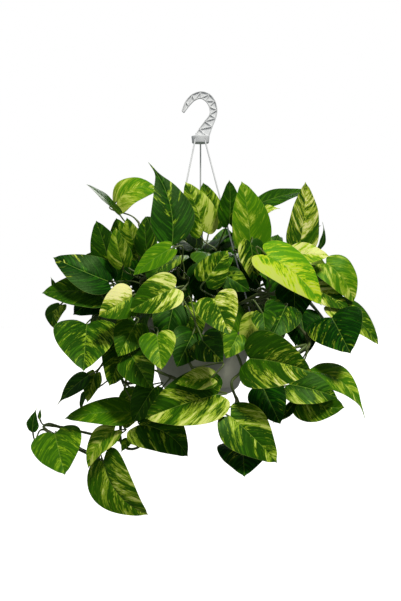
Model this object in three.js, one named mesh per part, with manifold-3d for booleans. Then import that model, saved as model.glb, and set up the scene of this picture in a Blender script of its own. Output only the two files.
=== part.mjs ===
// A golden pothos in a hanging pot. A round-bottomed plastic pot hangs on three strands from a ribbed
// hook and is filled with soil. Leafy stems stand in the soil, arch over the rim and trail on both sides.
// Millimetres. X is across, Y goes away from the viewer and Z is up.
// The origin is the seat inside the crown of the hook, where the whole thing hangs.

import * as THREE from "three";
import { mergeVertices } from "three/addons/utils/BufferGeometryUtils.js";
import Module from "manifold-3d";

const wasm = await Module();
wasm.setup();

// Driving dimensions
const GAP = 0.35; // between pieces that touch
const POT_HEIGHT = 122;
const POT_RIM_Z = -351;
const POT_RIM_RADIUS = 95;
const POT_WALL = 1.8;
const RIM_THICKNESS = 4;
const DRAIN_HOLES = 4;
const DRAIN_RADIUS = 4;
const DRAIN_CIRCLE = 27;
const SOIL_BELOW_RIM = 12;
const SOIL_CROWN = 5;
const HOOK_DEPTH = 6.4;
const HOOK_WEB = 2.4;
const HOOK_EDGE = 1.7;
const CAP_TOP_Z = -60;
const CAP_BOTTOM_Z = -71.4;
const CAP_TOP_RADIUS = 14.6;
const CAP_BOTTOM_RADIUS = 13.4;
const STRAND_RADIUS = 1.2;
const STRAND_CAP_CIRCLE = 11.5;
const STRAND_RIM_CIRCLE = 90.4;
const STRAND_AZIMUTHS = { left: [-37, -46], right: [25, 62], back: [180, 180] }; // at the cap, at the rim
const STEM_RADIUS = 2.4;
const STEM_RING_SPACING = 32;
const STEM_RISE = 36; // of the stems of the crown, out of the soil, before they turn outwards
const STEM_PASS = 24; // above the rim, where the trailing stems turn over it
const STEM_REACH = 52; // from the base of a blade back to its stem
const TRAILING_BELOW_Z = -285; // stems whose blades start lower than this on average pass over the rim
const PETIOLE_RADIUS = 1.4;
const PETIOLE_END_RADIUS = 0.35;
const PETIOLE_RING_SPACING = 28;
const PETIOLE_DIP = 38; // degrees behind the plane of the blade
const PETIOLE_KNEE = 16; // from the notch of the blade back to the bend of the petiole
const ROOT_DEPTH = 24;
const BLADE_THICKNESS = 0.8;
const BLADE_RATIO = 0.86; // width over length of a full-grown blade seen flat
const TILT_SHARE = 0.7; // how much of a blade's narrow or short look comes from its tilt
const EYE_DISTANCE = 1800; // from the pot's axis to the eye that the leaves are laid out for
const EYE_Z = -323;
const SEGMENTS = 24;

// Clearance kept while the leaves and stems find their places
const FREE_GAP = 3.6;
const ROOM_CELL = 12;
const SAMPLE_SPACING = 6;
const SLIDE_STEP = 4;
const SLIDE_TRIES = 45;
const ROUTE_TRIES = 500;

// Small helpers

const radians = THREE.MathUtils.degToRad;

// Azimuth 0 points at the viewer and 90 to the right.
function polar(radius, azimuth, z) {
  const angle = radians(azimuth);
  return new THREE.Vector3(radius * Math.sin(angle), -radius * Math.cos(angle), z);
}

// A point laid out on the upright plane through the pot's axis, moved along its line of sight.
function alongSight([across, up, depth]) {
  const scale = (EYE_DISTANCE + depth) / EYE_DISTANCE;
  return new THREE.Vector3(across * scale, depth, EYE_Z + (up - EYE_Z) * scale);
}

// A repeatable chance between 0 and 1.
function chanceFrom(seed) {
  let state = (seed * 7919 + 104729) % 2147483647;
  return () => {
    state = (state * 48271) % 2147483647;
    return state / 2147483647;
  };
}

function solidOf(geometry) {
  const bare = geometry.clone();
  bare.deleteAttribute("normal");
  bare.deleteAttribute("uv");
  const merged = mergeVertices(bare, 1e-4);
  const corners = merged.index.array;
  const kept = [];
  for (let i = 0; i < corners.length; i += 3) {
    const [a, b, c] = [corners[i], corners[i + 1], corners[i + 2]];
    if (a !== b && b !== c && c !== a) {
      kept.push(a, b, c);
    }
  }
  const positions = merged.attributes.position.array;
  if (signedVolume(positions, kept) < 0) {
    for (let i = 0; i < kept.length; i += 3) {
      [kept[i], kept[i + 1]] = [kept[i + 1], kept[i]];
    }
  }
  return new wasm.Manifold(new wasm.Mesh({
    numProp: 3,
    vertProperties: Float32Array.from(positions),
    triVerts: Uint32Array.from(kept),
  }));
}

function signedVolume(positions, corners) {
  const [a, b, c] = [new THREE.Vector3(), new THREE.Vector3(), new THREE.Vector3()];
  let sum = 0;
  for (let i = 0; i < corners.length; i += 3) {
    a.fromArray(positions, corners[i] * 3);
    b.fromArray(positions, corners[i + 1] * 3);
    c.fromArray(positions, corners[i + 2] * 3);
    sum += a.dot(b.cross(c)) / 6;
  }
  return sum;
}

function joined(solids) {
  return solids.reduce((whole, next) => whole.add(next));
}

function without(body, cutters) {
  return cutters.reduce((rest, cutter) => rest.subtract(cutter), body);
}

const model = new THREE.Group();

function addPiece(name, solid, color, roughness) {
  const { vertProperties, triVerts } = solid.getMesh();
  const geometry = new THREE.BufferGeometry();
  geometry.setAttribute("position", new THREE.BufferAttribute(Float32Array.from(vertProperties), 3));
  geometry.setIndex(new THREE.BufferAttribute(Uint32Array.from(triVerts), 1));
  geometry.computeVertexNormals();
  const material = new THREE.MeshStandardMaterial({ color, roughness, metalness: 0, flatShading: true });
  const mesh = new THREE.Mesh(geometry, material);
  mesh.name = name;
  model.add(mesh);
}

// A solid of revolution about Z from [radius, z] points that start and end on the axis or close up.
function turned(profile) {
  const points = profile.map(([radius, z]) => new THREE.Vector2(radius, z));
  return solidOf(new THREE.LatheGeometry(points, SEGMENTS).rotateX(Math.PI / 2));
}

function rodBetween(from, to, radius, sides) {
  const along = to.clone().sub(from);
  const rod = new THREE.CylinderGeometry(radius, radius, along.length(), sides);
  const upright = new THREE.Vector3(0, 1, 0);
  rod.applyQuaternion(new THREE.Quaternion().setFromUnitVectors(upright, along.normalize()));
  rod.translate(...from.clone().add(to).multiplyScalar(0.5).toArray());
  return solidOf(rod);
}

// A route through corners that lie equally far apart.
class Route extends THREE.Curve {
  constructor(corners) {
    super();
    this.corners = corners;
  }

  getPoint(part) {
    const place = part * (this.corners.length - 1);
    const index = Math.min(this.corners.length - 2, Math.max(0, Math.floor(place)));
    return this.corners[index].clone().lerp(this.corners[index + 1], place - index);
  }

  getPointAt(part) {
    return this.getPoint(part);
  }

  getTangentAt(part) {
    return this.getTangent(part);
  }
}

// A tube with a ring at each corner of its route. Its last ring may be narrower.
function tubeAlong(corners, radius, endRadius, sides) {
  const section = new THREE.Shape();
  for (let i = 0; i < sides; i += 1) {
    const angle = (i / sides) * 2 * Math.PI;
    const corner = [radius * Math.cos(angle), radius * Math.sin(angle)];
    if (i === 0) {
      section.moveTo(...corner);
    } else {
      section.lineTo(...corner);
    }
  }
  const shape = { steps: corners.length - 1, extrudePath: new Route(corners), bevelEnabled: false };
  const tube = new THREE.ExtrudeGeometry(section, shape);
  const positions = tube.attributes.position;
  const end = corners[corners.length - 1];
  const point = new THREE.Vector3();
  for (let i = 0; i < positions.count; i += 1) {
    point.fromBufferAttribute(positions, i);
    if (point.distanceTo(end) < radius * 1.01) {
      point.lerp(end, 1 - endRadius / radius);
      positions.setXYZ(i, point.x, point.y, point.z);
    }
  }
  return solidOf(tube);
}

// Pot

// Outside of the wall from the foot up, as [radius, height above the foot].
const POT_OUTSIDE = [[40, 0], [51, 4], [61, 13], [68, 33], [77, 68], [85.5, POT_HEIGHT - RIM_THICKNESS]];
const POT_FOOT_Z = POT_RIM_Z - POT_HEIGHT;

// The inside of the wall, shrunk by some more where the soil needs room.
function potInside(inset) {
  return POT_OUTSIDE.map(([radius, height], index) => {
    const lift = index < 3 ? POT_WALL + inset : (POT_WALL + inset) * 0.25;
    return [radius - (index < 1 ? 1 : POT_WALL + inset), POT_FOOT_Z + height + lift];
  });
}

function strandEnds([atCap, atRim]) {
  return [polar(STRAND_CAP_CIRCLE, atCap, CAP_TOP_Z), polar(STRAND_RIM_CIRCLE, atRim, POT_RIM_Z)];
}

// A rod that runs past both ends of a strand, to cut its holes.
function strandHole(azimuths) {
  const [top, bottom] = strandEnds(azimuths);
  const along = bottom.clone().sub(top).normalize();
  const from = top.clone().addScaledVector(along, -20);
  const to = bottom.clone().addScaledVector(along, 20);
  return rodBetween(from, to, STRAND_RADIUS + GAP, 6);
}

function makePot() {
  const outside = POT_OUTSIDE.map(([radius, height]) => [radius, POT_FOOT_Z + height]);
  const inside = potInside(0).reverse();
  const lip = [
    [POT_RIM_RADIUS - 0.6, POT_RIM_Z - RIM_THICKNESS],
    [POT_RIM_RADIUS, POT_RIM_Z - RIM_THICKNESS + 0.8],
    [POT_RIM_RADIUS, POT_RIM_Z - 1],
    [POT_RIM_RADIUS - 1, POT_RIM_Z],
    [POT_OUTSIDE[5][0] - POT_WALL + 0.6, POT_RIM_Z],
  ];
  const shell = turned([[0, POT_FOOT_Z], ...outside, ...lip, ...inside, [0, inside[inside.length - 1][1]]]);
  const holes = Object.values(STRAND_AZIMUTHS).map(strandHole);
  for (let i = 0; i < DRAIN_HOLES; i += 1) {
    const below = polar(DRAIN_CIRCLE, 45 + (i * 360) / DRAIN_HOLES, POT_FOOT_Z - 5);
    const above = below.clone().setZ(POT_FOOT_Z + 10);
    holes.push(rodBetween(below, above, DRAIN_RADIUS, 8));
  }
  addPiece("pot", without(shell, holes), 0xd9dad6, 0.45);
}

// Hook, in outline as [across, up]: down the outside from the open end, and the inside likewise

const HOOK_OUTER = [
  [-29.8, -19], [-24, -4.4], [-13.5, 6.8], [0.8, 11.5], [14.6, 7.4], [23.4, -3.4],
  [27, -17.8], [24.7, -31], [19.2, -44.8], [13.6, -62],
];
const HOOK_INNER = [
  [-26.1, -22.7], [-18.4, -12.4], [-9.6, -3.4], [0, 0], [8.2, -4.4], [13.6, -13.4],
  [14.2, -25.6], [6.6, -36.4], [-2.6, -48.8], [-10.9, -62],
];

// An outline of [across, up] points made as thick as asked, at a place in depth.
function plate(outline, thickness, middle) {
  const shape = new THREE.Shape(outline.map(([across, up]) => new THREE.Vector2(across, up)));
  const body = new THREE.ExtrudeGeometry(shape, { depth: thickness, bevelEnabled: false });
  body.translate(0, 0, -thickness / 2);
  body.rotateX(Math.PI / 2);
  body.translate(0, middle, 0);
  return solidOf(body);
}

// The pocket between two ribs: a triangle moved in from its sides by the rib's half thickness.
function pocketOutline(corners, inset) {
  const [a, b, c] = corners.map(([across, up]) => new THREE.Vector2(across, up));
  const sides = [b.distanceTo(c), c.distanceTo(a), a.distanceTo(b)];
  const around = sides[0] + sides[1] + sides[2];
  const middle = new THREE.Vector2()
    .addScaledVector(a, sides[0] / around)
    .addScaledVector(b, sides[1] / around)
    .addScaledVector(c, sides[2] / around);
  const area = Math.abs((b.x - a.x) * (c.y - a.y) - (c.x - a.x) * (b.y - a.y)) / 2;
  const inradius = (2 * area) / around;
  const shrink = Math.max(0, 1 - inset / inradius);
  return [a, b, c].map((corner) => corner.sub(middle).multiplyScalar(shrink).add(middle).toArray());
}

function makeHook() {
  const band = plate([...HOOK_OUTER, ...[...HOOK_INNER].reverse()], HOOK_DEPTH, 0);
  const pocketDepth = (HOOK_DEPTH - HOOK_WEB) / 2;
  const pockets = [];
  for (let i = 0; i < HOOK_OUTER.length - 1; i += 1) {
    const triangles = [
      [HOOK_OUTER[i], HOOK_OUTER[i + 1], HOOK_INNER[i]],
      [HOOK_INNER[i], HOOK_INNER[i + 1], HOOK_OUTER[i + 1]],
    ];
    for (const corners of triangles) {
      const outline = pocketOutline(corners, HOOK_EDGE / 2 + 0.2);
      for (const side of [-1, 1]) {
        const middle = side * (HOOK_WEB / 2 + pocketDepth);
        pockets.push(plate(outline, pocketDepth * 2, middle));
      }
    }
  }
  const cap = turned([
    [0, CAP_BOTTOM_Z],
    [CAP_BOTTOM_RADIUS, CAP_BOTTOM_Z],
    [CAP_TOP_RADIUS, CAP_TOP_Z - 2],
    [CAP_TOP_RADIUS - 0.4, CAP_TOP_Z],
    [0, CAP_TOP_Z],
  ]);
  const whole = without(band, pockets).add(cap);
  addPiece("hanger_hook", without(whole, Object.values(STRAND_AZIMUTHS).map(strandHole)), 0xc9cbd0, 0.4);
}

// Strands: a rod with a ball on the cap and a button under the rim

function makeStrand(name, azimuths) {
  const [top, bottom] = strandEnds(azimuths);
  const along = bottom.clone().sub(top).normalize();
  const reach = (point, distance) => point.clone().addScaledVector(along, distance);
  const rod = rodBetween(reach(top, -4), reach(bottom, RIM_THICKNESS + 3), STRAND_RADIUS, 6);
  const head = new THREE.SphereGeometry(1.7, 6, 4).translate(...reach(top, -3.2).toArray());
  const buttonTop = reach(bottom, RIM_THICKNESS + 1.4);
  const button = rodBetween(buttonTop, reach(buttonTop, 2), 2.5, 6);
  addPiece(`strand_${name}`, joined([rod, solidOf(head), button]), 0xd4d6da, 0.4);
}

// Leaf blades

// Half of a heart-shaped blade from the notch round to the tip, as [part of width, part of length].
const HALF_OUTLINE = [
  [0, 0], [0.2, -0.1], [0.43, 0.01], [0.5, 0.23], [0.39, 0.57], [0.15, 0.87], [0, 1],
];
const PLAIN_OUTLINE = [[0, 0], [0.22, -0.1], [0.48, 0.12], [0.46, 0.42], [0.17, 0.84], [0, 1]];
const SPEAR_OUTLINE = [[0, 0], [0.34, 0.08], [0.5, 0.31], [0.28, 0.62], [0.06, 0.82], [0, 1]];

// Where the vein that ends at this part of the length leaves the midrib.
function veinFoot(partOfLength) {
  return Math.max(0, (partOfLength - 0.12) / 0.88);
}

// The frame of a blade: its base, its length and width, and its forward, upward and side directions.
function bladeFrame(leaf, slide) {
  const base = leaf.place(leaf.base, slide);
  const tip = leaf.place(leaf.tip, slide);
  const forward = tip.clone().sub(base);
  const length = forward.length();
  forward.normalize();
  const [azimuth, elevation] = leaf.face;
  const up = polar(Math.cos(radians(elevation)), azimuth, Math.sin(radians(elevation)));
  up.addScaledVector(forward, -up.dot(forward)).normalize();
  const side = new THREE.Vector3().crossVectors(up, forward);
  const width = leaf.wide * ((EYE_DISTANCE + base.y) / EYE_DISTANCE);
  return { base, length, forward, up, side, width };
}

// A point of the blade's middle surface: part of the width, signed, and part of the length.
function bladePoint(leaf, frame, across, along) {
  const arch = radians(leaf.arch);
  const turn = arch * (along - 0.5);
  const bow = frame.length / (2 * Math.sin(arch / 2));
  const run = bow * (Math.sin(turn) + Math.sin(arch / 2));
  const rise = bow * (Math.cos(turn) - Math.cos(arch / 2));
  const lateral = across * frame.width;
  const edge = Math.abs(across) * 2;
  const fold = radians(leaf.fold);
  const wave = Math.sin(leaf.phase + 9 * along + Math.sign(across) * 1.3) * leaf.wave * edge * edge;
  const lift = Math.abs(lateral) * Math.sin(fold) + wave - leaf.curl * edge * edge * frame.width * 0.5;
  const sway = leaf.sickle * frame.length * 4 * along * (1 - along);
  const point = frame.base.clone();
  point.addScaledVector(frame.forward, run + lift * Math.sin(turn));
  point.addScaledVector(frame.up, rise + lift * Math.cos(turn));
  point.addScaledVector(frame.side, lateral * Math.cos(fold) + sway);
  return point;
}

// Points spread over the blade, for the test of free room.
function bladeSamples(leaf, frame) {
  const samples = [bladePoint(leaf, frame, 0, 1)];
  const outline = leaf.outline;
  const columns = Math.max(1, Math.ceil((frame.width * 0.5) / SAMPLE_SPACING));
  for (let i = 0; i < outline.length - 1; i += 1) {
    const [[fromWidth, fromLength], [toWidth, toLength]] = [outline[i], outline[i + 1]];
    const run = Math.hypot((toWidth - fromWidth) * frame.width, (toLength - fromLength) * frame.length);
    const rows = Math.max(1, Math.ceil(run / SAMPLE_SPACING));
    for (let row = 0; row < rows; row += 1) {
      const width = fromWidth + ((toWidth - fromWidth) * row) / rows;
      const length = fromLength + ((toLength - fromLength) * row) / rows;
      const foot = veinFoot(length);
      for (let k = -columns; k <= columns; k += 1) {
        const share = Math.abs(k) / columns;
        samples.push(bladePoint(leaf, frame, (width * k) / columns, foot + (length - foot) * share));
      }
    }
  }
  return samples;
}

// The closed blade: both faces split into the same triangles, and a rim between them.
function bladeSolid(leaf) {
  const { frame, outline } = leaf;
  const places = [];
  const triangles = [];
  const rim = [];
  const placeOf = (across, along) => {
    places.push([across, along]);
    return places.length - 1;
  };
  const notch = placeOf(0, 0);
  const feet = outline.map(([, along]) => veinFoot(along));
  const midrib = feet.map((foot) => (foot === 0 ? notch : null));
  for (let i = 0; i < feet.length; i += 1) {
    midrib[i] = midrib[i] ?? placeOf(0, feet[i]);
  }
  const tip = midrib[feet.length - 1];
  for (const side of [-1, 1]) {
    const margin = outline.map(([width, along], index) => {
      if (index === 0) {
        return notch;
      }
      return index === outline.length - 1 ? tip : placeOf(side * width, along);
    });
    for (let i = 0; i < outline.length - 1; i += 1) {
      const corners = [[midrib[i], margin[i], margin[i + 1]], [midrib[i], margin[i + 1], midrib[i + 1]]];
      for (const [a, b, c] of corners) {
        if (a !== b && b !== c && c !== a) {
          triangles.push(side > 0 ? [a, b, c] : [a, c, b]);
        }
      }
      rim.push(side > 0 ? [margin[i], margin[i + 1]] : [margin[i + 1], margin[i]]);
    }
  }
  const middle = places.map(([across, along]) => bladePoint(leaf, frame, across, along));
  const normals = middle.map(() => new THREE.Vector3());
  for (const [a, b, c] of triangles) {
    const across = middle[b].clone().sub(middle[a]);
    const normal = across.cross(middle[c].clone().sub(middle[a]));
    normals[a].add(normal);
    normals[b].add(normal);
    normals[c].add(normal);
  }
  const count = middle.length;
  const half = BLADE_THICKNESS / 2;
  const shell = [half, -half].flatMap((offset) => {
    return middle.map((point, i) => point.clone().addScaledVector(normals[i].clone().normalize(), offset));
  });
  const faces = [];
  for (const [a, b, c] of triangles) {
    faces.push(a, b, c, a + count, c + count, b + count);
  }
  for (const [a, b] of rim) {
    faces.push(b, a, a + count, b, a + count, b + count);
  }
  const geometry = new THREE.BufferGeometry();
  const flat = shell.flatMap((point) => point.toArray());
  geometry.setAttribute("position", new THREE.BufferAttribute(Float32Array.from(flat), 3));
  geometry.setIndex(faces);
  return solidOf(geometry);
}

// How a full-grown blade stands in depth, from how broad it is seen to be. A blade seen shorter than it
// is has its tip nearer the eye, or further off if it points up. One seen narrower has rolled about its
// midrib, outwards and up.
function standOf(base, tip, wide) {
  const [across, up] = [tip[0] - base[0], tip[1] - base[1]];
  const seen = Math.hypot(across, up);
  const lengthwise = Math.sqrt(Math.max(0, (wide / BLADE_RATIO) ** 2 - seen ** 2)) * TILT_SHARE;
  const roll = Math.acos(Math.min(1, wide / (BLADE_RATIO * seen))) * TILT_SHARE;
  const depth = base[2] + lengthwise * (up > 0 ? 0.6 : -1);
  const forward = new THREE.Vector3(across, depth - base[2], up).normalize();
  const toEye = new THREE.Vector3(0, -1, 0);
  toEye.addScaledVector(forward, -toEye.dot(forward)).normalize();
  const aside = new THREE.Vector3().crossVectors(forward, toEye);
  const outward = new THREE.Vector3(base[0] / 150, 0, 0.7);
  const turn = aside.dot(outward) < 0 ? -roll : roll;
  const facing = toEye.multiplyScalar(Math.cos(turn)).addScaledVector(aside, Math.sin(turn));
  const azimuth = THREE.MathUtils.radToDeg(Math.atan2(facing.x, -facing.y));
  const elevation = THREE.MathUtils.radToDeg(Math.asin(facing.z));
  return { tip: [tip[0], tip[1], depth], face: [azimuth, elevation], wide: wide / Math.cos(turn) };
}

// One leaf, laid out as the eye sees it: base as [across, up, depth], tip as [across, up] and the width.
// Where its stand is given by hand, the tip has a depth too, and the face an azimuth and elevation.
// Arch and fold are in degrees.
function leaf(base, tip, wide, shape = {}) {
  const stand = shape.face ? { tip, wide } : standOf(base, tip, wide);
  return {
    base,
    ...stand,
    outline: wide < 45 ? PLAIN_OUTLINE : HALF_OUTLINE,
    arch: 30,
    fold: 8,
    curl: 0.08,
    wave: 1.2,
    sickle: 0,
    phase: (Math.abs(base[0]) + Math.abs(tip[1])) % 6.28,
    place: ([across, up, depth], slide) => alongSight([across, up, depth + slide]),
    ...shape,
  };
}

// Leafy stems: the hole as [radius, azimuth], and the leaves from the root outwards
const VINES = {
  vine_left_top: {
    hole: [30, -80],
    leaves: [
      leaf([-98, -250, -105], [-118, -190], 42),
      leaf([-134, -166, -50], [-66, -148, -42], 60, {
        face: [0, 36],
        arch: 100,
        fold: 2,
        sickle: 0.06,
      }),
      leaf([-131, -181, -45], [-182, -137, -62], 40, { face: [10, 66], arch: 12 }),
    ],
  },
  vine_left_shoulder: {
    hole: [46, -88],
    leaves: [
      leaf([-84, -250, -112], [-88, -188], 38),
      leaf([-124, -266, -112], [-136, -206], 40),
      leaf([-143, -272, -95], [-167, -195], 56, { sickle: -0.05 }),
    ],
  },
  vine_crown_left: {
    hole: [18, -60],
    leaves: [
      leaf([-12, -238, -34], [-58, -214, 14], 56, { face: [-30, 70], outline: PLAIN_OUTLINE }),
      leaf([-48, -240, -150], [-108, -283], 38, { arch: 20 }),
      leaf([-46, -236, -92], [-84, -101, -58], 76, {
        face: [16, 4],
        arch: 16,
        sickle: -0.1,
        outline: SPEAR_OUTLINE,
      }),
    ],
  },
  vine_crown_middle: {
    hole: [10, 20],
    leaves: [
      leaf([6, -250, 6], [18, -226, 66], 60, { face: [170, 74], outline: PLAIN_OUTLINE }),
      leaf([4, -212, -64], [-24, -133], 56, { fold: 14 }),
      leaf([46, -200, -48], [46, -130], 42, { arch: 18 }),
      leaf([18, -204, 4], [4, -134], 48, { arch: 20 }),
    ],
  },
  vine_crown_right: {
    hole: [14, 80],
    leaves: [
      leaf([34, -246, 4], [92, -226, 26], 56, { face: [90, 70], outline: PLAIN_OUTLINE }),
      leaf([80, -230, -118], [84, -293], 46),
      leaf([80, -234, -82], [66, -132], 68, { fold: 16, arch: 22 }),
      leaf([97, -180, -40], [128, -176, -44], 22, { face: [0, 50], outline: SPEAR_OUTLINE }),
      leaf([94, -168, -18], [178, -148, -8], 40, { face: [0, 50], arch: 26 }),
    ],
  },
  vine_right_top: {
    hole: [38, 96],
    leaves: [
      leaf([159, -236, -48], [168, -133], 56, { arch: 14, fold: 10 }),
      leaf([146, -250, -70], [206, -252], 38, { arch: 30 }),
      leaf([185, -245, -24], [195, -197, -20], 15, {
        face: [50, 0],
        sickle: -0.14,
        outline: SPEAR_OUTLINE,
      }),
    ],
  },
  vine_right_shoulder: {
    hole: [54, 124],
    leaves: [
      leaf([160, -264, -44], [204, -270, -36], 40, { face: [180, 20] }),
      leaf([184, -300, -48], [211, -300, -50], 22, { face: [0, 60], arch: 90 }),
      leaf([201, -264, -46], [245, -326], 56, { arch: 50, sickle: 0.06 }),
    ],
  },
  vine_right_lime: {
    hole: [46, 40],
    leaves: [
      leaf([150, -298, -92], [150, -360], 62, { outline: PLAIN_OUTLINE }),
      leaf([38, -282, -184], [79, -308], 40),
      leaf([103, -249, -128], [194, -331], 68, { arch: 40, sickle: 0.03 }),
      leaf([184, -306, -78], [238, -338], 38),
    ],
  },
  vine_right_far: {
    hole: [66, 78],
    leaves: [
      leaf([160, -345, -84], [172, -408], 60),
      leaf([210, -350, -70], [240, -408], 94),
      leaf([212, -331, -58], [285, -394], 46, { arch: 34, sickle: 0.04 }),
    ],
  },
  vine_left_middle: {
    hole: [64, -90],
    leaves: [
      leaf([-148, -302, -62], [-204, -346], 66, { outline: PLAIN_OUTLINE }),
      leaf([-148, -292, -98], [-236, -254], 60, { sickle: 0.05 }),
      leaf([-158, -312, -84], [-254, -311], 54, { arch: 34 }),
      leaf([-231, -306, -70], [-240, -284, -70], 9, { face: [-10, 0], outline: SPEAR_OUTLINE, arch: 8 }),
    ],
  },
  vine_left_low: {
    hole: [66, -66],
    leaves: [
      leaf([-104, -360, -140], [-132, -413], 58),
      leaf([-120, -394, -112], [-146, -460], 64, { outline: PLAIN_OUTLINE }),
      leaf([-182, -361, -110], [-187, -436], 104),
      leaf([-225, -331, -62], [-233, -369, -64], 34, { face: [-24, 8], sickle: -0.18 }),
    ],
  },
  vine_front_left: {
    hole: [48, -30],
    leaves: [
      leaf([-41, -303, -186], [-114, -340], 64, { fold: 14 }),
      leaf([-110, -317, -164], [-163, -348], 58),
    ],
  },
  vine_front_middle: {
    hole: [46, 4],
    leaves: [
      leaf([8, -292, -196], [44, -243], 52, { arch: 24 }),
      leaf([22, -320, -214], [47, -378], 74, { fold: 16 }),
    ],
  },
  vine_front_right: {
    hole: [66, 50],
    leaves: [
      leaf([90, -350, -140], [62, -389], 40),
      leaf([100, -342, -164], [104, -381], 40),
      leaf([136, -333, -150], [112, -385], 64),
      leaf([78, -416, -180], [179, -438], 98, { fold: 16, sickle: 0.04 }),
    ],
  },
  vine_front_low: {
    hole: [66, -12],
    leaves: [
      leaf([2, -386, -168], [36, -421], 62),
      leaf([-12, -376, -172], [-38, -430], 60),
      leaf([-70, -378, -184], [-62, -434], 60, { fold: 10 }),
      leaf([-110, -412, -150], [-78, -464], 62),
    ],
  },
  vine_centre_trail: {
    hole: [66, 16],
    leaves: [
      leaf([60, -378, -150], [40, -416], 42),
      leaf([100, -462, -140], [128, -521], 62),
      leaf([68, -554, -112], [70, -605], 84),
      leaf([48, -508, -166], [123, -583], 78, { arch: 24, outline: PLAIN_OUTLINE }),
    ],
  },
  vine_right_trail: {
    hole: [66, 64],
    leaves: [
      leaf([142, -457, -130], [219, -478], 56),
      leaf([150, -484, -112], [112, -520, -116], 18, {
        face: [0, 30],
        sickle: 0.12,
        outline: SPEAR_OUTLINE,
      }),
      leaf([156, -464, -114], [231, -494], 74, { sickle: -0.13 }),
      leaf([172, -436, -100], [264, -514], 44, { sickle: 0.19, arch: 34, outline: SPEAR_OUTLINE }),
    ],
  },
  vine_left_trail: {
    hole: [66, -48],
    leaves: [
      leaf([-100, -470, -96], [-122, -530], 50, { outline: PLAIN_OUTLINE }),
      leaf([-74, -462, -122], [-108, -518], 52),
      leaf([-112, -502, -104], [-218, -512], 42),
      leaf([-168, -440, -84], [-181, -486], 30),
      leaf([-178, -442, -96], [-230, -491, -94], 40, { face: [-20, 40], outline: SPEAR_OUTLINE }),
      leaf([-184, -468, -72], [-192, -503, -74], 14, { face: [-40, 0], outline: SPEAR_OUTLINE }),
    ],
  },
  vine_low_left: {
    hole: [66, -30],
    leaves: [
      leaf([20, -447, -162], [-40, -456], 36),
      leaf([28, -473, -150], [-89, -512], 90, { fold: 20 }),
      leaf([-97, -521, -110], [-20, -573], 76, { sickle: 0.12 }),
    ],
  },
  vine_far_left: {
    hole: [66, -76],
    behind: [10, 26, -4],
    leaves: [
      leaf([-138, -531, -98], [-180, -592], 38, { sickle: -0.1 }),
      leaf([-116, -543, -90], [-128, -567, -90], 16, { face: [20, 10], outline: SPEAR_OUTLINE }),
      leaf([-156, -581, -84], [-83, -666], 80, { sickle: -0.12 }),
      leaf([-233, -536, -84], [-217, -602], 84, { arch: 20 }),
      leaf([-269, -534, -80], [-262, -494, -80], 24, { face: [-30, 0], outline: SPEAR_OUTLINE }),
      leaf([-258, -513, -82], [-256, -494, -82], 6, { face: [0, 0], outline: SPEAR_OUTLINE, arch: 6 }),
    ],
  },
  vine_core_left: {
    hole: [26, -115],
    leaves: [
      leaf([-114, -236, -24], [-130, -304], 60),
      leaf([-88, -262, 4], [-94, -324], 54),
      leaf([-72, -228, 26], [-86, -188], 50),
      leaf([-118, -244, -34], [-135, -191], 46),
    ],
  },
  vine_core_middle: {
    hole: [26, 200],
    leaves: [
      leaf([-6, -244, 0], [-28, -322], 68),
      leaf([28, -248, 4], [38, -322], 66),
      leaf([6, -270, -46], [8, -338], 58),
      leaf([38, -258, 26], [40, -206], 54),
    ],
  },
  vine_core_right: {
    hole: [26, 140],
    leaves: [
      leaf([66, -268, -30], [72, -338], 60),
      leaf([124, -272, -30], [128, -334], 54),
      leaf([112, -262, 0], [124, -217], 46),
    ],
  },
  vine_core_front: {
    hole: [56, -57],
    leaves: [
      leaf([-44, -334, -118], [-58, -400], 60),
    ],
  },
};

// At the sides and behind, and close round the pot in front, stems and leaves follow a rule. Each stem
// carries a leaf at every level, from the crown down to the rim and below, and they all face outwards.
const RULES = [
  {
    name: "vine_back",
    seed: 65,
    count: 8,
    firstAzimuth: 97,
    step: 24,
    roots: [58, 42],
    levels: [
      { base: [60, -240], tip: [118, -210], wide: 74, elevation: 62 },
      { base: [118, -246], tip: [176, -304], wide: 80, elevation: 38 },
      { base: [140, -322], tip: [186, -392], wide: 82, elevation: 24 },
      { base: [112, -370], tip: [142, -438], wide: 74, elevation: 8 },
    ],
  },
  {
    name: "vine_inner",
    seed: 531,
    count: 4,
    firstAzimuth: -64,
    step: 42,
    roots: [36, 30],
    levels: [
      { base: [74, -250], tip: [124, -300], wide: 68, elevation: 44 },
      { base: [96, -334], tip: [118, -398], wide: 66, elevation: 12 },
    ],
  },
];

function ruledVine(rule, number) {
  const chance = chanceFrom(rule.seed + number);
  const spread = (size) => (chance() - 0.5) * 2 * size;
  const middle = rule.firstAzimuth + number * rule.step;
  const leaves = rule.levels.map((level, index) => {
    const azimuth = middle + (index % 2 === 0 ? -1 : 1) * 7 + spread(3);
    const outward = polar(1, azimuth, 0);
    const base = polar(level.base[0] + spread(8), azimuth, level.base[1] + spread(9));
    const tip = polar(level.tip[0] + spread(8), azimuth + spread(12), level.tip[1] + spread(9));
    return leaf(base.toArray(), tip.toArray(), level.wide + spread(6), {
      face: [azimuth + spread(18), level.elevation + spread(8)],
      arch: 34 + spread(14),
      fold: 9 + spread(5),
      sickle: spread(0.05),
      place: ([x, y, z], slide) => new THREE.Vector3(x, y, z).addScaledVector(outward, slide),
      outline: PLAIN_OUTLINE,
      alternate: true,
    });
  });
  return { hole: [rule.roots[number % 2], middle + 3], leaves };
}

for (const rule of RULES) {
  for (let number = 0; number < rule.count; number += 1) {
    VINES[`${rule.name}_${number + 1}`] = ruledVine(rule, number);
  }
}

// Free room: everything already placed, as points with a radius and an owner

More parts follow.
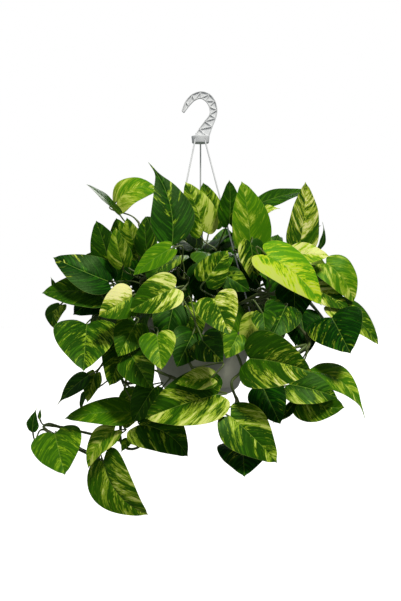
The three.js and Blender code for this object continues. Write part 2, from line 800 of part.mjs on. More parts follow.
class Crowd {
  constructor() {
    this.cells = new Map();
  }

  keyOf(x, y, z) {
    return ((x + 100) * 1000 + (y + 100)) * 1000 + (z + 200);
  }

  add(points, radius, owner) {
    for (const point of points) {
      const cell = point.toArray().map((value) => Math.floor(value / ROOM_CELL));
      const key = this.keyOf(...cell);
      if (!this.cells.has(key)) {
        this.cells.set(key, []);
      }
      this.cells.get(key).push({ point, radius, owner });
    }
  }

  // The least room between these points and the others, negative where they come too near.
  room(points, radius, ignored) {
    let least = ROOM_CELL;
    for (const point of points) {
      const [i, j, k] = point.toArray().map((value) => Math.floor(value / ROOM_CELL));
      for (let x = i - 1; x <= i + 1; x += 1) {
        for (let y = j - 1; y <= j + 1; y += 1) {
          for (let z = k - 1; z <= k + 1; z += 1) {
            for (const other of this.cells.get(this.keyOf(x, y, z)) ?? []) {
              if (!ignored(other.owner)) {
                const distance = point.distanceTo(other.point);
                least = Math.min(least, distance - radius - other.radius - FREE_GAP);
              }
            }
          }
        }
      }
    }
    return least;
  }
}

function soilTop(radius) {
  return POT_RIM_Z - SOIL_BELOW_RIM + SOIL_CROWN * (1 - (radius / POT_RIM_RADIUS) ** 2);
}

// Room between a point and the filled pot.
function potRoom(point) {
  const radius = Math.hypot(point.x, point.y);
  const height = point.z - POT_FOOT_Z;
  if (radius < POT_OUTSIDE[5][0] - 9) {
    const aboveSoil = point.z - soilTop(radius);
    return height < 0 ? -height : Math.max(aboveSoil, -1);
  }
  if (height > POT_HEIGHT) {
    return Math.hypot(Math.max(0, radius - POT_RIM_RADIUS), height - POT_HEIGHT);
  }
  const wall = POT_OUTSIDE.findIndex(([, up]) => up >= height);
  if (wall <= 0) {
    return radius - POT_RIM_RADIUS;
  }
  const [lower, upper] = [POT_OUTSIDE[wall - 1], POT_OUTSIDE[wall]];
  const share = (height - lower[1]) / (upper[1] - lower[1]);
  const nearRim = height > POT_HEIGHT - RIM_THICKNESS - 12;
  return radius - (nearRim ? POT_RIM_RADIUS : lower[0] + (upper[0] - lower[0]) * share);
}

function leastPotRoom(points, radius) {
  return Math.min(...points.map((point) => potRoom(point) - radius - FREE_GAP / 2));
}

const crowd = new Crowd();

for (const azimuths of Object.values(STRAND_AZIMUTHS)) {
  const [top, bottom] = strandEnds(azimuths);
  const steps = 90;
  const points = Array.from({ length: steps + 1 }, (_, i) => top.clone().lerp(bottom, i / steps));
  crowd.add(points, STRAND_RADIUS, "strand");
}

// Blades first, from the nearest to the furthest. A blade with no room slides until it has some.

const everyLeaf = Object.entries(VINES).flatMap(([name, vine]) => {
  return vine.leaves.map((item, index) => Object.assign(item, { vine: name, owner: `${name} ${index}` }));
});
everyLeaf.forEach((item, index) => Object.assign(item, { number: index + 1 }));

function slideOf(item, attempt) {
  if (item.alternate) {
    return (attempt % 2 === 0 ? 1 : -1) * Math.ceil(attempt / 2) * SLIDE_STEP;
  }
  const backwards = Math.ceil(SLIDE_TRIES * 0.6);
  return attempt < backwards ? attempt * SLIDE_STEP : (backwards - attempt - 1) * SLIDE_STEP;
}

function settleBlade(item) {
  let best = { room: -Infinity };
  for (let attempt = 0; attempt < SLIDE_TRIES && best.room < 0; attempt += 1) {
    const frame = bladeFrame(item, slideOf(item, attempt));
    const samples = bladeSamples(item, frame);
    const half = BLADE_THICKNESS / 2;
    const room = Math.min(crowd.room(samples, half, () => false), leastPotRoom(samples, half));
    if (room > best.room) {
      best = { room, frame, samples, attempt };
    }
  }
  item.frame = best.frame;
  item.slide = slideOf(item, best.attempt);
  crowd.add(best.samples, BLADE_THICKNESS / 2, item.owner);
}

const depthOf = (item) => item.base[2] + item.tip[2];
const sightLaid = everyLeaf.filter((item) => !item.alternate).sort((a, b) => depthOf(a) - depthOf(b));
[...sightLaid, ...everyLeaf.filter((item) => item.alternate)].forEach(settleBlade);

// Routes: a smooth line through points chosen by hand or rule

function smoothLine(points, perSpan) {
  const line = [];
  for (let i = 0; i < points.length - 1; i += 1) {
    const [a, b] = [points[Math.max(0, i - 1)], points[i]];
    const [c, d] = [points[i + 1], points[Math.min(points.length - 1, i + 2)]];
    for (let k = 0; k < perSpan; k += 1) {
      const t = k / perSpan;
      const weights = [
        -0.5 * t + t * t - 0.5 * t * t * t,
        1 - 2.5 * t * t + 1.5 * t * t * t,
        0.5 * t + 2 * t * t - 1.5 * t * t * t,
        -0.5 * t * t + 0.5 * t * t * t,
      ];
      const point = new THREE.Vector3();
      [a, b, c, d].forEach((corner, index) => point.addScaledVector(corner, weights[index]));
      line.push(point);
    }
  }
  line.push(points[points.length - 1].clone());
  return line;
}

// Points along a line, as far apart as asked or a little closer, from its start to its end.
function spaced(line, spacing, least) {
  const reached = [0];
  for (let i = 1; i < line.length; i += 1) {
    reached.push(reached[i - 1] + line[i].distanceTo(line[i - 1]));
  }
  const length = reached[line.length - 1];
  const steps = Math.max(least, Math.ceil(length / spacing));
  const points = [];
  let index = 1;
  for (let step = 0; step <= steps; step += 1) {
    const wanted = (length * step) / steps;
    while (index < line.length - 1 && reached[index] < wanted) {
      index += 1;
    }
    const span = reached[index] - reached[index - 1];
    const share = span > 0 ? Math.min(1, (wanted - reached[index - 1]) / span) : 0;
    points.push(line[index - 1].clone().lerp(line[index], share));
  }
  return points;
}

function shifted(point, chance, size) {
  const shift = new THREE.Vector3(chance() - 0.5, chance() - 0.5, chance() - 0.5);
  return point.clone().addScaledVector(shift, 2 * size);
}

// A stem rises from its hole, passes over the rim if its leaves hang outside, and runs behind the bases
// of its leaves, in some stems by an offset of their own. Each further attempt moves its points by a
// little more.
function stemLine(vine, number, attempt) {
  const chance = chanceFrom(number * 1000 + attempt);
  const size = Math.min(40, 3.5 * Math.sqrt(attempt));
  const [radius, azimuth] = vine.hole;
  const ground = soilTop(radius);
  const root = [-9, 0, 9].map((up) => polar(radius, azimuth, ground + up));
  const bases = vine.leaves.map((item) => item.frame.base);
  const middleZ = bases.reduce((sum, base) => sum + base.z, 0) / bases.length;
  const trailing = middleZ < TRAILING_BELOW_Z;
  const turningRadius = (trailing ? POT_RIM_RADIUS : radius) + 4;
  const turningZ = trailing ? POT_RIM_Z + STEM_PASS : ground + STEM_RISE;
  const turning = shifted(polar(turningRadius, azimuth, turningZ), chance, size * 0.4);
  const wanted = bases.map((base) => {
    if (vine.behind) {
      return base.clone().add(new THREE.Vector3(...vine.behind));
    }
    const back = turning.clone().sub(base);
    const share = Math.min(0.5, STEM_REACH / back.length());
    return base.clone().addScaledVector(back, share);
  });
  wanted.sort((a, b) => a.distanceTo(turning) - b.distanceTo(turning));
  const last = wanted[wanted.length - 1];
  const passed = wanted.map((point) => {
    const share = point.distanceTo(turning) / last.distanceTo(turning);
    const straight = turning.clone().lerp(last, Math.min(1, share));
    return shifted(point.clone().lerp(straight, vine.behind ? 0 : 0.5), chance, size);
  });
  return smoothLine([...root, turning, ...passed], 8).slice(16);
}

function settleStem(vine, name, number) {
  const [radius, azimuth] = vine.hole;
  const ground = soilTop(radius);
  const rootEnd = polar(radius, azimuth, ground - ROOT_DEPTH);
  let best = { room: -Infinity };
  for (let attempt = 0; attempt < ROUTE_TRIES && best.room < 0; attempt += 1) {
    const line = stemLine(vine, number, attempt);
    const rings = [rootEnd, ...spaced(line, STEM_RING_SPACING, 5)];
    const close = spaced(rings, SAMPLE_SPACING, 1);
    const free = close.slice(close.findIndex((point) => point.z > ground + STEM_RADIUS + FREE_GAP));
    const room = Math.min(crowd.room(free, STEM_RADIUS, () => false), leastPotRoom(free, STEM_RADIUS));
    if (room > best.room) {
      best = { room, rings, close };
    }
  }
  vine.rings = best.rings;
  crowd.add(best.close, STEM_RADIUS, `${name} stem`);
}

// A petiole leaves its stem, comes up to the notch of its blade from behind and ends inside the blade.
function petioleLine(vine, item, attempt) {
  const chance = chanceFrom(item.number * 1000 + attempt + 500);
  const wild = Math.min(1, attempt / 120);
  const { base, forward, up, side } = item.frame;
  const dip = radians(PETIOLE_DIP) + (chance() - 0.5) * 2.4 * wild;
  const swing = (chance() - 0.5) * 2 * wild;
  const away = new THREE.Vector3()
    .addScaledVector(forward, -Math.cos(dip))
    .addScaledVector(up, -Math.sin(dip))
    .addScaledVector(side, swing)
    .normalize();
  const knee = base.clone().addScaledVector(away, PETIOLE_KNEE + chance() * 14 * wild);
  const rings = vine.rings;
  const ground = rings.findIndex((point) => point.z > soilTop(vine.hole[0]) + STEM_RADIUS * 2);
  let nearest = ground;
  for (let i = ground; i < rings.length; i += 1) {
    if (rings[i].distanceTo(knee) < rings[nearest].distanceTo(knee)) {
      nearest = i;
    }
  }
  const backUp = Math.floor(0.5 + chance() * 3 * wild);
  const start = Math.max(ground, nearest - backUp);
  const runs = rings[start].clone().sub(rings[start - 1]).normalize();
  const leaving = rings[start].clone().addScaledVector(runs, 8).lerp(knee, 0.25);
  const bend = shifted(leaving, chance, 14 * wild);
  const firstFoot = item.outline.map(([, along]) => veinFoot(along)).find((foot) => foot > 0);
  const rib = bladePoint(item, item.frame, 0, firstFoot);
  const sunk = base.clone().lerp(rib, Math.min(0.5, 3.5 / base.distanceTo(rib))).addScaledVector(up, -0.15);
  return smoothLine([rings[start], bend, knee, sunk], 6);
}

function settlePetiole(vine, item) {
  const own = (owner) => owner === item.owner || owner === `${item.vine} stem`;
  let best = { room: -Infinity };
  for (let attempt = 0; attempt < ROUTE_TRIES && best.room < 0; attempt += 1) {
    const rings = spaced(petioleLine(vine, item, attempt), PETIOLE_RING_SPACING, 2);
    const close = spaced(rings, SAMPLE_SPACING, 1);
    const room = Math.min(crowd.room(close, PETIOLE_RADIUS, own), leastPotRoom(close, PETIOLE_RADIUS));
    if (room > best.room) {
      best = { room, rings, close };
    }
  }
  item.petiole = best.rings;
  crowd.add(best.close, PETIOLE_RADIUS, item.owner);
}

Object.entries(VINES).forEach(([name, vine], index) => settleStem(vine, name, index + 1));
everyLeaf.forEach((item) => settlePetiole(VINES[item.vine], item));

// Soil: it fills the pot to just below the rim, with a plain hole for each stem

function makeSoil() {
  const inside = potInside(GAP + 0.1);
  const side = inside.slice(0, -1);
  const top = inside[inside.length - 1];
  const edge = [top[0] - 1.2, soilTop(POT_RIM_RADIUS)];
  const profile = [[0, inside[0][1]], ...side, edge, [50, soilTop(50)], [0, soilTop(0)]];
  const holes = Object.values(VINES).map(({ hole: [radius, azimuth] }) => {
    const bottom = polar(radius, azimuth, soilTop(radius) - ROOT_DEPTH - GAP);
    return rodBetween(bottom, bottom.clone().setZ(POT_RIM_Z), STEM_RADIUS + 2, 4);
  });
  addPiece("soil", without(turned(profile), holes), 0x3a2c22, 0.95);
}

// Leafy stems

function makeVine(name, vine) {
  const parts = [tubeAlong(vine.rings, STEM_RADIUS, STEM_RADIUS, 4)];
  for (const item of vine.leaves) {
    parts.push(tubeAlong(item.petiole, PETIOLE_RADIUS, PETIOLE_END_RADIUS, 3));
    parts.push(bladeSolid(item));
  }
  addPiece(name, joined(parts), 0x4c7a1e, 0.5);
}

makePot();
makeSoil();
makeHook();
Object.entries(STRAND_AZIMUTHS).forEach(([name, azimuths]) => makeStrand(name, azimuths));
Object.entries(VINES).forEach(([name, vine]) => makeVine(name, vine));

export default model;
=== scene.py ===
"""The looks of a golden pothos in a hanging pot.

Lengths are in millimetres until a mesh is made. X is across, Y goes away from the viewer and Z is up. The
origin is the seat inside the crown of the hook.
"""

import math

import bpy
import numpy as np
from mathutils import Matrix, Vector
from mathutils.bvhtree import BVHTree
from mathutils.kdtree import KDTree


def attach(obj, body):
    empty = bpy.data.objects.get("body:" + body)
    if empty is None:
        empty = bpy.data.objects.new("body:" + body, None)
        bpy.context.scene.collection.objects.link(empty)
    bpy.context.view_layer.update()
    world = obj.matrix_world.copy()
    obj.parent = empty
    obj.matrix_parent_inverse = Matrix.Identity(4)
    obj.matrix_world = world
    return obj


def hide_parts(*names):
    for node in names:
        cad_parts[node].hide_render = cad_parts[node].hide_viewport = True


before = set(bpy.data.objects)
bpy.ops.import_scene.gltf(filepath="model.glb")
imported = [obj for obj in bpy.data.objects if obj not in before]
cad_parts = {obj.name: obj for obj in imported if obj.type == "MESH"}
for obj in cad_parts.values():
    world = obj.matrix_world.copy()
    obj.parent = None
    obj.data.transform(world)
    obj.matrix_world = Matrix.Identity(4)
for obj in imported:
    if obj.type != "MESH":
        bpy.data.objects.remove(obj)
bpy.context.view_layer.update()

# Driving dimensions
MM = 0.001
FULL_TURN = 6.28
SHARP_ANGLE = 38
POT_HEIGHT = 122
POT_RIM_Z = -351
POT_RIM_RADIUS = 95
POT_WALL = 1.8
POT_OUTSIDE = [[40, 0], [51, 4], [61, 13], [68, 33], [77, 68], [85.5, 118]]
POT_FOOT_Z = POT_RIM_Z - POT_HEIGHT
POT_CORNER = 3
POT_SIDES = 128
RIM_THICKNESS = 4
RIM_CORNER = 1.1
DRAIN_RADIUS = 4
DRAIN_CIRCLE = 27
SOIL_BELOW_RIM = 12
SOIL_CROWN = 5
SOIL_GAP = 0.5
SOIL_STEP = 1.6
SOIL_SIDES = 144
LUMP_HEIGHT = 7
CRUMBS_PER_SQUARE_METRE = 60000.0
LARGEST_CRUMB = 2.6
HOOK_DEPTH = 6.4
HOOK_WEB = 2.4
HOOK_RIM = 1.4
HOOK_RIB = 1.9
CAP_TOP_Z = -60
CAP_BOTTOM_Z = -71.4
CAP_TOP_RADIUS = 14.6
CAP_BOTTOM_RADIUS = 13.4
CAP_CORNER = 1.2
CAP_SIDES = 96
STRAND_RADIUS = 1.2
STRAND_PLAY = 0.35
STRAND_SIDES = 14
BUTTON_BELOW_RIM = 1.4
STRAND_CAP_CIRCLE = 11.5
STRAND_RIM_CIRCLE = 90.4
# The azimuth at which each strand leaves the cap, and at which it meets the rim
STRAND_AZIMUTHS = {"left": (-37, -46), "right": (25, 62), "back": (180, 180)}
STEM_RADIUS = 2.4
STEM_RING_SPACING = 32
STEM_REACH = 52
TRAILING_BELOW_Z = -285
PETIOLE_RADIUS = 1.4
PETIOLE_RING_SPACING = 28
ROOT_DEPTH = 24
BLADE_RATIO = 0.86
TILT_SHARE = 0.7
EYE_DISTANCE = 1800
EYE_Z = -323
SLIDE_STEP = 4
SLIDE_TRIES = 45
BACKWARD_TRIES = 27
ROUTE_TRIES = 500
VEIN_SPACING = 8

# What the longer side of the frame takes in at the pot's axis, and the camera's sensor
FRAME_HEIGHT_MM = 961.6
SENSOR = 36

FLOOR_Z = -1400
FLOOR_HALF = 40000


# Small helpers


def add_object(name, data):
    thing = bpy.data.objects.new(name, data)
    bpy.context.scene.collection.objects.link(thing)
    return thing


class Nodes:
    """A node tree in the making, with short names for the nodes that are used often."""

    def __init__(self, tree):
        self.tree = tree

    def feed(self, socket, value):
        """Gives a socket another one's value or a constant, with a full alpha where that is a colour."""
        if isinstance(value, bpy.types.NodeSocket):
            self.tree.links.new(value, socket)
        else:
            socket.default_value = (*value, 1) if socket.type == "RGBA" else value

    def add(self, kind, inputs=None, **settings):
        """The outputs of a new node that has its inputs given by name or number."""
        node = self.tree.nodes.new(kind)
        for name, value in settings.items():
            setattr(node, name, value)
        for key, value in (inputs or {}).items():
            self.feed(node.inputs[key], value)
        return node.outputs

    def maths(self, operation, *values, clamp=False):
        return self.add("ShaderNodeMath", dict(enumerate(values)), operation=operation, use_clamp=clamp)[0]

    def times(self, first, second):
        return self.maths("MULTIPLY", first, second)

    def times_plus(self, first, second, third):
        return self.maths("MULTIPLY_ADD", first, second, third)

    def vector(self, x, y, z):
        return self.add("ShaderNodeCombineXYZ", {0: x, 1: y, 2: z})[0]

    def parts(self, vector):
        return self.add("ShaderNodeSeparateXYZ", {0: vector})

    def noise(self, place, scale, detail, roughness=0.55, warp=0.0):
        return self.add("ShaderNodeTexNoise", {
            "Vector": place, "Scale": scale, "Detail": detail, "Roughness": roughness, "Distortion": warp,
        })["Fac"]


# Camera, floor and light


def make_camera():
    data = bpy.data.cameras.new("camera")
    data.sensor_width = SENSOR
    data.lens = SENSOR * EYE_DISTANCE / FRAME_HEIGHT_MM
    data.clip_end = 50
    camera = add_object("camera", data)
    camera.location = (0, -EYE_DISTANCE * MM, EYE_Z * MM)
    camera.rotation_euler = (math.pi / 2, 0, 0)
    bpy.context.scene.camera = camera


def make_light(name, azimuth, elevation, strength, softness, tint):
    """Even light from far away. Azimuth 0 comes from behind the camera and 90 from the right."""
    data = bpy.data.lights.new(name, "SUN")
    data.energy = strength
    data.angle = math.radians(softness)
    data.color = tint
    light = add_object(name, data)
    light.rotation_euler = (math.radians(90 - elevation), 0, math.radians(azimuth))


def make_studio():
    """Three lights, and surroundings that look white and shine only a little."""
    make_light("key", 22, 50, 3.3, 12, (1, 0.985, 0.94))
    make_light("fill", -50, 18, 0.35, 60, (0.95, 0.98, 1))
    make_light("back", 165, 34, 1.3, 30, (1, 1, 0.95))
    world = bpy.data.worlds.new("studio")
    world.use_nodes = True
    bpy.context.scene.world = world
    studio = Nodes(world.node_tree)
    own = studio.tree.nodes
    studio.feed(own["Background"].inputs["Color"], (0.93, 0.96, 1))
    studio.feed(own["Background"].inputs["Strength"], 0.22)
    white = studio.add("ShaderNodeBackground", {"Color": (1, 1, 1), "Strength": 1})[0]
    seen = studio.add("ShaderNodeLightPath")["Is Camera Ray"]
    choice = studio.add("ShaderNodeMixShader", {0: seen, 1: own["Background"].outputs[0], 2: white})[0]
    studio.feed(own["World Output"].inputs["Surface"], choice)
    view = bpy.context.scene.view_settings
    view.view_transform = "Standard"
    view.look = "None"
    view.exposure = 0
    view.gamma = 1


def make_floor():
    size = FLOOR_HALF
    corners = [[x, y, FLOOR_Z] for x, y in ((-size, -size), (size, -size), (size, size), (-size, size))]
    floor = new_piece("floor", corners, [[0, 1, 2, 3]], floor_material())
    floor.visible_diffuse = False
    floor.visible_glossy = False


# Materials


class Finish(Nodes):
    """A material in the making."""

    def __init__(self, name):
        self.material = bpy.data.materials.new(name)
        self.material.use_nodes = True
        super().__init__(self.material.node_tree)
        self.place = self.add("ShaderNodeTexCoord")["Object"]

    def carried(self, name):
        """The three values that a mesh carries at each point under a name."""
        return self.parts(self.add("ShaderNodeAttribute", attribute_name=name)["Vector"])

    def blend(self, share, first, second):
        return self.add("ShaderNodeMix", {0: share, 6: first, 7: second}, data_type="RGBA")[2]

    def tint(self, colour, mask, strength, other):
        return self.blend(self.times(mask, strength), colour, other)

    def step(self, value, low, high):
        """A smooth rise from 0 to 1 between two values."""
        inputs = {0: value, 1: low, 2: high}
        return self.add("ShaderNodeMapRange", inputs, interpolation_type="SMOOTHSTEP")[0]

    def bumps(self, height, strength, depth):
        return self.add("ShaderNodeBump", {"Strength": strength, "Distance": depth, "Height": height})[0]

    def skin(self, **inputs):
        """The material, with inputs of its surface by name; underscores stand for spaces."""
        surface = self.tree.nodes["Principled BSDF"]
        for name, value in inputs.items():
            self.feed(surface.inputs[name.replace("_", " ")], value)
        return self.material


def leaf_material():
    """Deep green brushed with lime and cream along the veins, a fine midrib and a dull underside."""
    leaf = Finish("variegated_leaf")
    across, foot, seed = leaf.carried("vein")
    lime, splash, cream = leaf.carried("look")
    share, along, underside = leaf.carried("place")
    half = leaf.times_plus(leaf.maths("SIGN", across), 4.7, seed)

    def field(across_scale, foot_scale, shift, detail, warp):
        x, y = leaf.times(across, across_scale), leaf.times(foot, foot_scale)
        return leaf.noise(leaf.vector(x, y, leaf.maths("ADD", half, shift)), 1.0, detail, 0.6, warp)

    # Broad patches, brushed along the veins, with frayed edges
    patches = leaf.times(field(0.024, 0.045, 0.0, 2.0, 0.8), 0.85)
    patches = leaf.times_plus(field(0.06, 0.14, 31.0, 3.0, 1.4), 0.55, patches)
    patches = leaf.times_plus(field(0.2, 0.45, 67.0, 3.0, 1.0), 0.4, patches)
    patches = leaf.times_plus(splash, 0.42, leaf.maths("SUBTRACT", patches, 1.12))
    tints = field(0.04, 0.16, 90.0, 3.0, 0.5)
    green = leaf.blend(lime, (0.002, 0.024, 0.0015), (0.1, 0.31, 0.004))
    lighter = leaf.blend(lime, (0.012, 0.08, 0.002), (0.23, 0.46, 0.006))
    green = leaf.blend(leaf.step(tints, 0.5, 0.64), green, lighter)
    streak = leaf.blend(cream, (0.15, 0.28, 0.005), (0.4, 0.5, 0.035))
    bright = leaf.blend(lime, streak, (0.52, 0.66, 0.015))
    streak = leaf.blend(leaf.step(lime, 0.5, 0.9), streak, bright)
    pale = leaf.blend(cream, (0.36, 0.48, 0.015), (0.84, 0.82, 0.33))
    upper = leaf.blend(leaf.step(patches, -0.06, 0.06), green, streak)
    upper = leaf.blend(leaf.step(patches, 0.05, 0.16), upper, pale)

    # Midrib, side veins and margin
    rib_width = leaf.times_plus(along, -0.45, 0.75)
    off_rib = leaf.step(leaf.maths("ABSOLUTE", across), leaf.times(rib_width, 0.35), rib_width)
    rib = leaf.maths("SUBTRACT", 1.0, off_rib)
    drift = leaf.times_plus(tints, 5.0, foot)
    ripple = leaf.maths("SINE", leaf.times(drift, 2 * math.pi / VEIN_SPACING))
    upper = leaf.tint(upper, rib, 0.5, (0.2, 0.33, 0.04))
    upper = leaf.tint(upper, leaf.step(ripple, 0.93, 1.0), 0.1, (0.1, 0.22, 0.02))
    upper = leaf.tint(upper, leaf.step(share, 0.975, 1.0), 0.25, (0.3, 0.36, 0.08))
    lower = leaf.blend(0.5, upper, (0.1, 0.2, 0.035))
    lower = leaf.tint(lower, rib, 0.7, (0.3, 0.4, 0.1))

    grain = leaf.noise(leaf.place, 260.0, 2.0)
    dull = leaf.times_plus(underside, 0.2, 0.3)
    height = leaf.times_plus(leaf.step(ripple, 0.4, 1.0), -0.5, grain)
    height = leaf.times_plus(tints, 0.8, height)
    height = leaf.times_plus(rib, -0.8, height)
    return leaf.skin(
        Base_Color=leaf.blend(underside, upper, lower), Roughness=leaf.times_plus(grain, 0.14, dull),
        Normal=leaf.bumps(height, 0.32, 0.0005), Specular_IOR_Level=0.15, Specular_Tint=(0.32, 0.62, 0.16),
        Subsurface_Weight=0.08, Subsurface_Radius=(0.5, 0.8, 0.1), Subsurface_Scale=0.003,
    )


def stem_material():
    """Mottled green, browner at the joints."""
    stem = Finish("green_stem")
    length, joint, seed = stem.carried("run")
    mottle = stem.noise(stem.vector(stem.times(length, 0.03), joint, seed), 3.0, 3.0)
    fine = stem.noise(stem.place, 420.0, 3.0)
    colour = stem.blend(mottle, (0.045, 0.09, 0.015), (0.16, 0.21, 0.04))
    colour = stem.blend(stem.maths("MULTIPLY", joint, 0.55, clamp=True), colour, (0.1, 0.075, 0.03))
    colour = stem.tint(colour, fine, 0.35, (0.03, 0.05, 0.012))
    rough = stem.times_plus(fine, 0.2, 0.4)
    return stem.skin(Base_Color=colour, Roughness=rough, Normal=stem.bumps(fine, 0.4, 0.0005))


def plastic_material(name, colour, shade, roughness, grain_scale, clearness):
    """Moulded plastic: faint flow marks in the colour, a fine grain and a soft gloss."""
    plastic = Finish(name)
    cloud = plastic.noise(plastic.place, 14.0, 3.0)
    grain = plastic.noise(plastic.place, grain_scale, 2.0)
    return plastic.skin(
        Base_Color=plastic.blend(plastic.step(cloud, 0.3, 0.7), shade, colour),
        Roughness=plastic.times_plus(grain, 0.16, roughness), Normal=plastic.bumps(grain, 0.12, 0.0003),
        Subsurface_Weight=clearness, Subsurface_Radius=(1, 1, 1), Subsurface_Scale=0.003,
    )


def soil_material():
    """Dark, damp potting soil with lighter fibres."""
    soil = Finish("potting_soil")
    coarse = soil.noise(soil.place, 90.0, 5.0)
    fine = soil.noise(soil.place, 700.0, 4.0)
    colour = soil.blend(soil.step(coarse, 0.35, 0.68), (0.012, 0.008, 0.005), (0.06, 0.036, 0.02))
    colour = soil.blend(soil.step(fine, 0.6, 0.75), colour, (0.16, 0.1, 0.05))
    rough = soil.times_plus(fine, 0.2, 0.75)
    return soil.skin(Base_Color=colour, Roughness=rough, Normal=soil.bumps(fine, 0.8, 0.002))


def floor_material():
    floor = Finish("pale_floor")
    cloud = floor.noise(floor.place, 2.0, 2.0)
    colour = floor.blend(cloud, (0.93, 0.93, 0.925), (0.97, 0.97, 0.965))
    return floor.skin(Base_Color=colour, Roughness=0.9, Emission_Color=(1, 1, 1), Emission_Strength=0.2)


LEAF = leaf_material()
STEM = stem_material()
POT_PLASTIC = plastic_material("pot_plastic", (0.46, 0.465, 0.36), (0.4, 0.405, 0.31), 0.42, 900.0, 0.05)
HOOK_PLASTIC = plastic_material("hook_plastic", (0.78, 0.79, 0.79), (0.68, 0.69, 0.7), 0.26, 600.0, 0.3)
SOIL = soil_material()


# Meshes


def new_piece(name, places, faces, material, sharp=SHARP_ANGLE):
    """A smooth mesh, with sharp edges where its faces meet at more than so many degrees."""
    mesh = bpy.data.meshes.new(name)
    mesh.from_pydata((np.asarray(places) * MM).tolist(), [], faces)
    mesh.materials.append(material)
    mesh.polygons.foreach_set("use_smooth", [True] * len(mesh.polygons))
    mesh.update()
    mesh.set_sharp_from_angle(angle=math.radians(sharp))
    return add_object(name, mesh)


def merged(parts):
    """Meshes, each as places and faces, as one."""
    faces = []
    count = 0
    for places, own_faces in parts:
        faces += [[corner + count for corner in face] for face in own_faces]
        count += len(places)
    return np.vstack([places for places, _ in parts]), faces


def baked(piece):
    """Turns a piece's modifiers into plain mesh."""
    graph = bpy.context.evaluated_depsgraph_get()
    shape = piece.evaluated_get(graph)
    mesh = bpy.data.meshes.new_from_object(shape, preserve_all_data_layers=True, depsgraph=graph)
    piece.modifiers.clear()
    piece.data = mesh
    return piece


def finish_piece(piece, slot, *nodes):
    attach(piece, "root")
    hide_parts(*nodes)


def polar(radius, azimuth, z):
    """Azimuth 0 points at the viewer and 90 to the right."""
    angle = math.radians(azimuth)
    return np.array([radius * math.sin(angle), -radius * math.cos(angle), z])


def along_sight(place, slide):
    """A place in the picture at its depth, moved along the line of sight."""
    across, up, depth = place
    depth += slide
    scale = (EYE_DISTANCE + depth) / EYE_DISTANCE
    return np.array([across * scale, depth, EYE_Z + (up - EYE_Z) * scale])


def chance_from(seed):
    """A repeatable chance between 0 and 1."""
    largest = 2147483647
    state = (seed * 7919 + 104729) % largest

    def chance():
        nonlocal state
        state = state * 48271 % largest
        return state / largest

    return chance


def unit(vector):
    return vector / np.linalg.norm(vector)


def unit_rows(vectors):
    return vectors / np.linalg.norm(vectors, axis=1)[:, None]


def distance(first, second):
    return float(np.linalg.norm(np.subtract(first, second)))


def smooth_line(points, per_span):
    """A smooth line through points, with so many steps from each to the next."""
    points = np.asarray(points, float)
    padded = np.vstack([points[:1], points, points[-1:]])
    t = (np.arange(per_span) / per_span)[:, None]
    line = [
        padded[i] * (-0.5 * t + t * t - 0.5 * t**3)
        + padded[i + 1] * (1 - 2.5 * t * t + 1.5 * t**3)
        + padded[i + 2] * (0.5 * t + 2 * t * t - 1.5 * t**3)
        + padded[i + 3] * (-0.5 * t * t + 0.5 * t**3)
        for i in range(len(points) - 1)
    ]
    return np.vstack([*line, points[-1:]])


def run_of(line):
    """How far along a line each of its points is."""
    return np.concatenate([[0], np.cumsum(np.linalg.norm(np.diff(line, axis=0), axis=1))])


def spaced(line, spacing, least):
    """Points along a line, as far apart as asked or a little closer, from its start to its end."""
    run = run_of(line)
    steps = max(least, math.ceil(run[-1] / spacing))
    wanted = run[-1] * np.arange(steps + 1) / steps
    return np.column_stack([np.interp(wanted, run, line[:, axis]) for axis in range(line.shape[1])])


# Leaf blades

# Half outlines, as parts of the width and of the length
HEART = [[0, 0], [0.2, -0.1], [0.43, 0.01], [0.5, 0.23], [0.39, 0.57], [0.15, 0.87], [0, 1]]
PLAIN = [[0, 0], [0.22, -0.1], [0.48, 0.12], [0.46, 0.42], [0.17, 0.84], [0, 1]]
SPEAR = [[0, 0], [0.34, 0.08], [0.5, 0.31], [0.28, 0.62], [0.06, 0.82], [0, 1]]
HEART_FROM_WIDTH = 45
# The part of the length below the first side vein
LOBE = 0.12


def vein_foot(part_of_length):
    """Where the vein that ends at this part of the length leaves the midrib."""
    return np.maximum(0, (np.asarray(part_of_length) - LOBE) / (1 - LOBE))


def stand_of(base, tip, wide):
    """How a full-grown blade stands in depth, from how broad it is seen to be."""
    across, up = tip[0] - base[0], tip[1] - base[1]
    seen = math.hypot(across, up)
    lengthwise = math.sqrt(max(0, (wide / BLADE_RATIO) ** 2 - seen**2)) * TILT_SHARE
    roll = math.acos(min(1, wide / (BLADE_RATIO * seen))) * TILT_SHARE
    depth = base[2] + lengthwise * (0.6 if up > 0 else -1)
    forward = unit(np.array([across, depth - base[2], up]))
    to_eye = np.array([0, -1, 0])
    to_eye = unit(to_eye - forward * (to_eye @ forward))
    aside = np.cross(forward, to_eye)
    outward_and_up = np.array([base[0] / 150, 0, 0.7])
    turn = -roll if aside @ outward_and_up < 0 else roll
    facing = to_eye * math.cos(turn) + aside * math.sin(turn)
    azimuth = math.degrees(math.atan2(facing[0], -facing[1]))
    elevation = math.degrees(math.asin(facing[2]))
    return {"tip": (tip[0], tip[1], depth), "face": (azimuth, elevation), "wide": wide / math.cos(turn)}


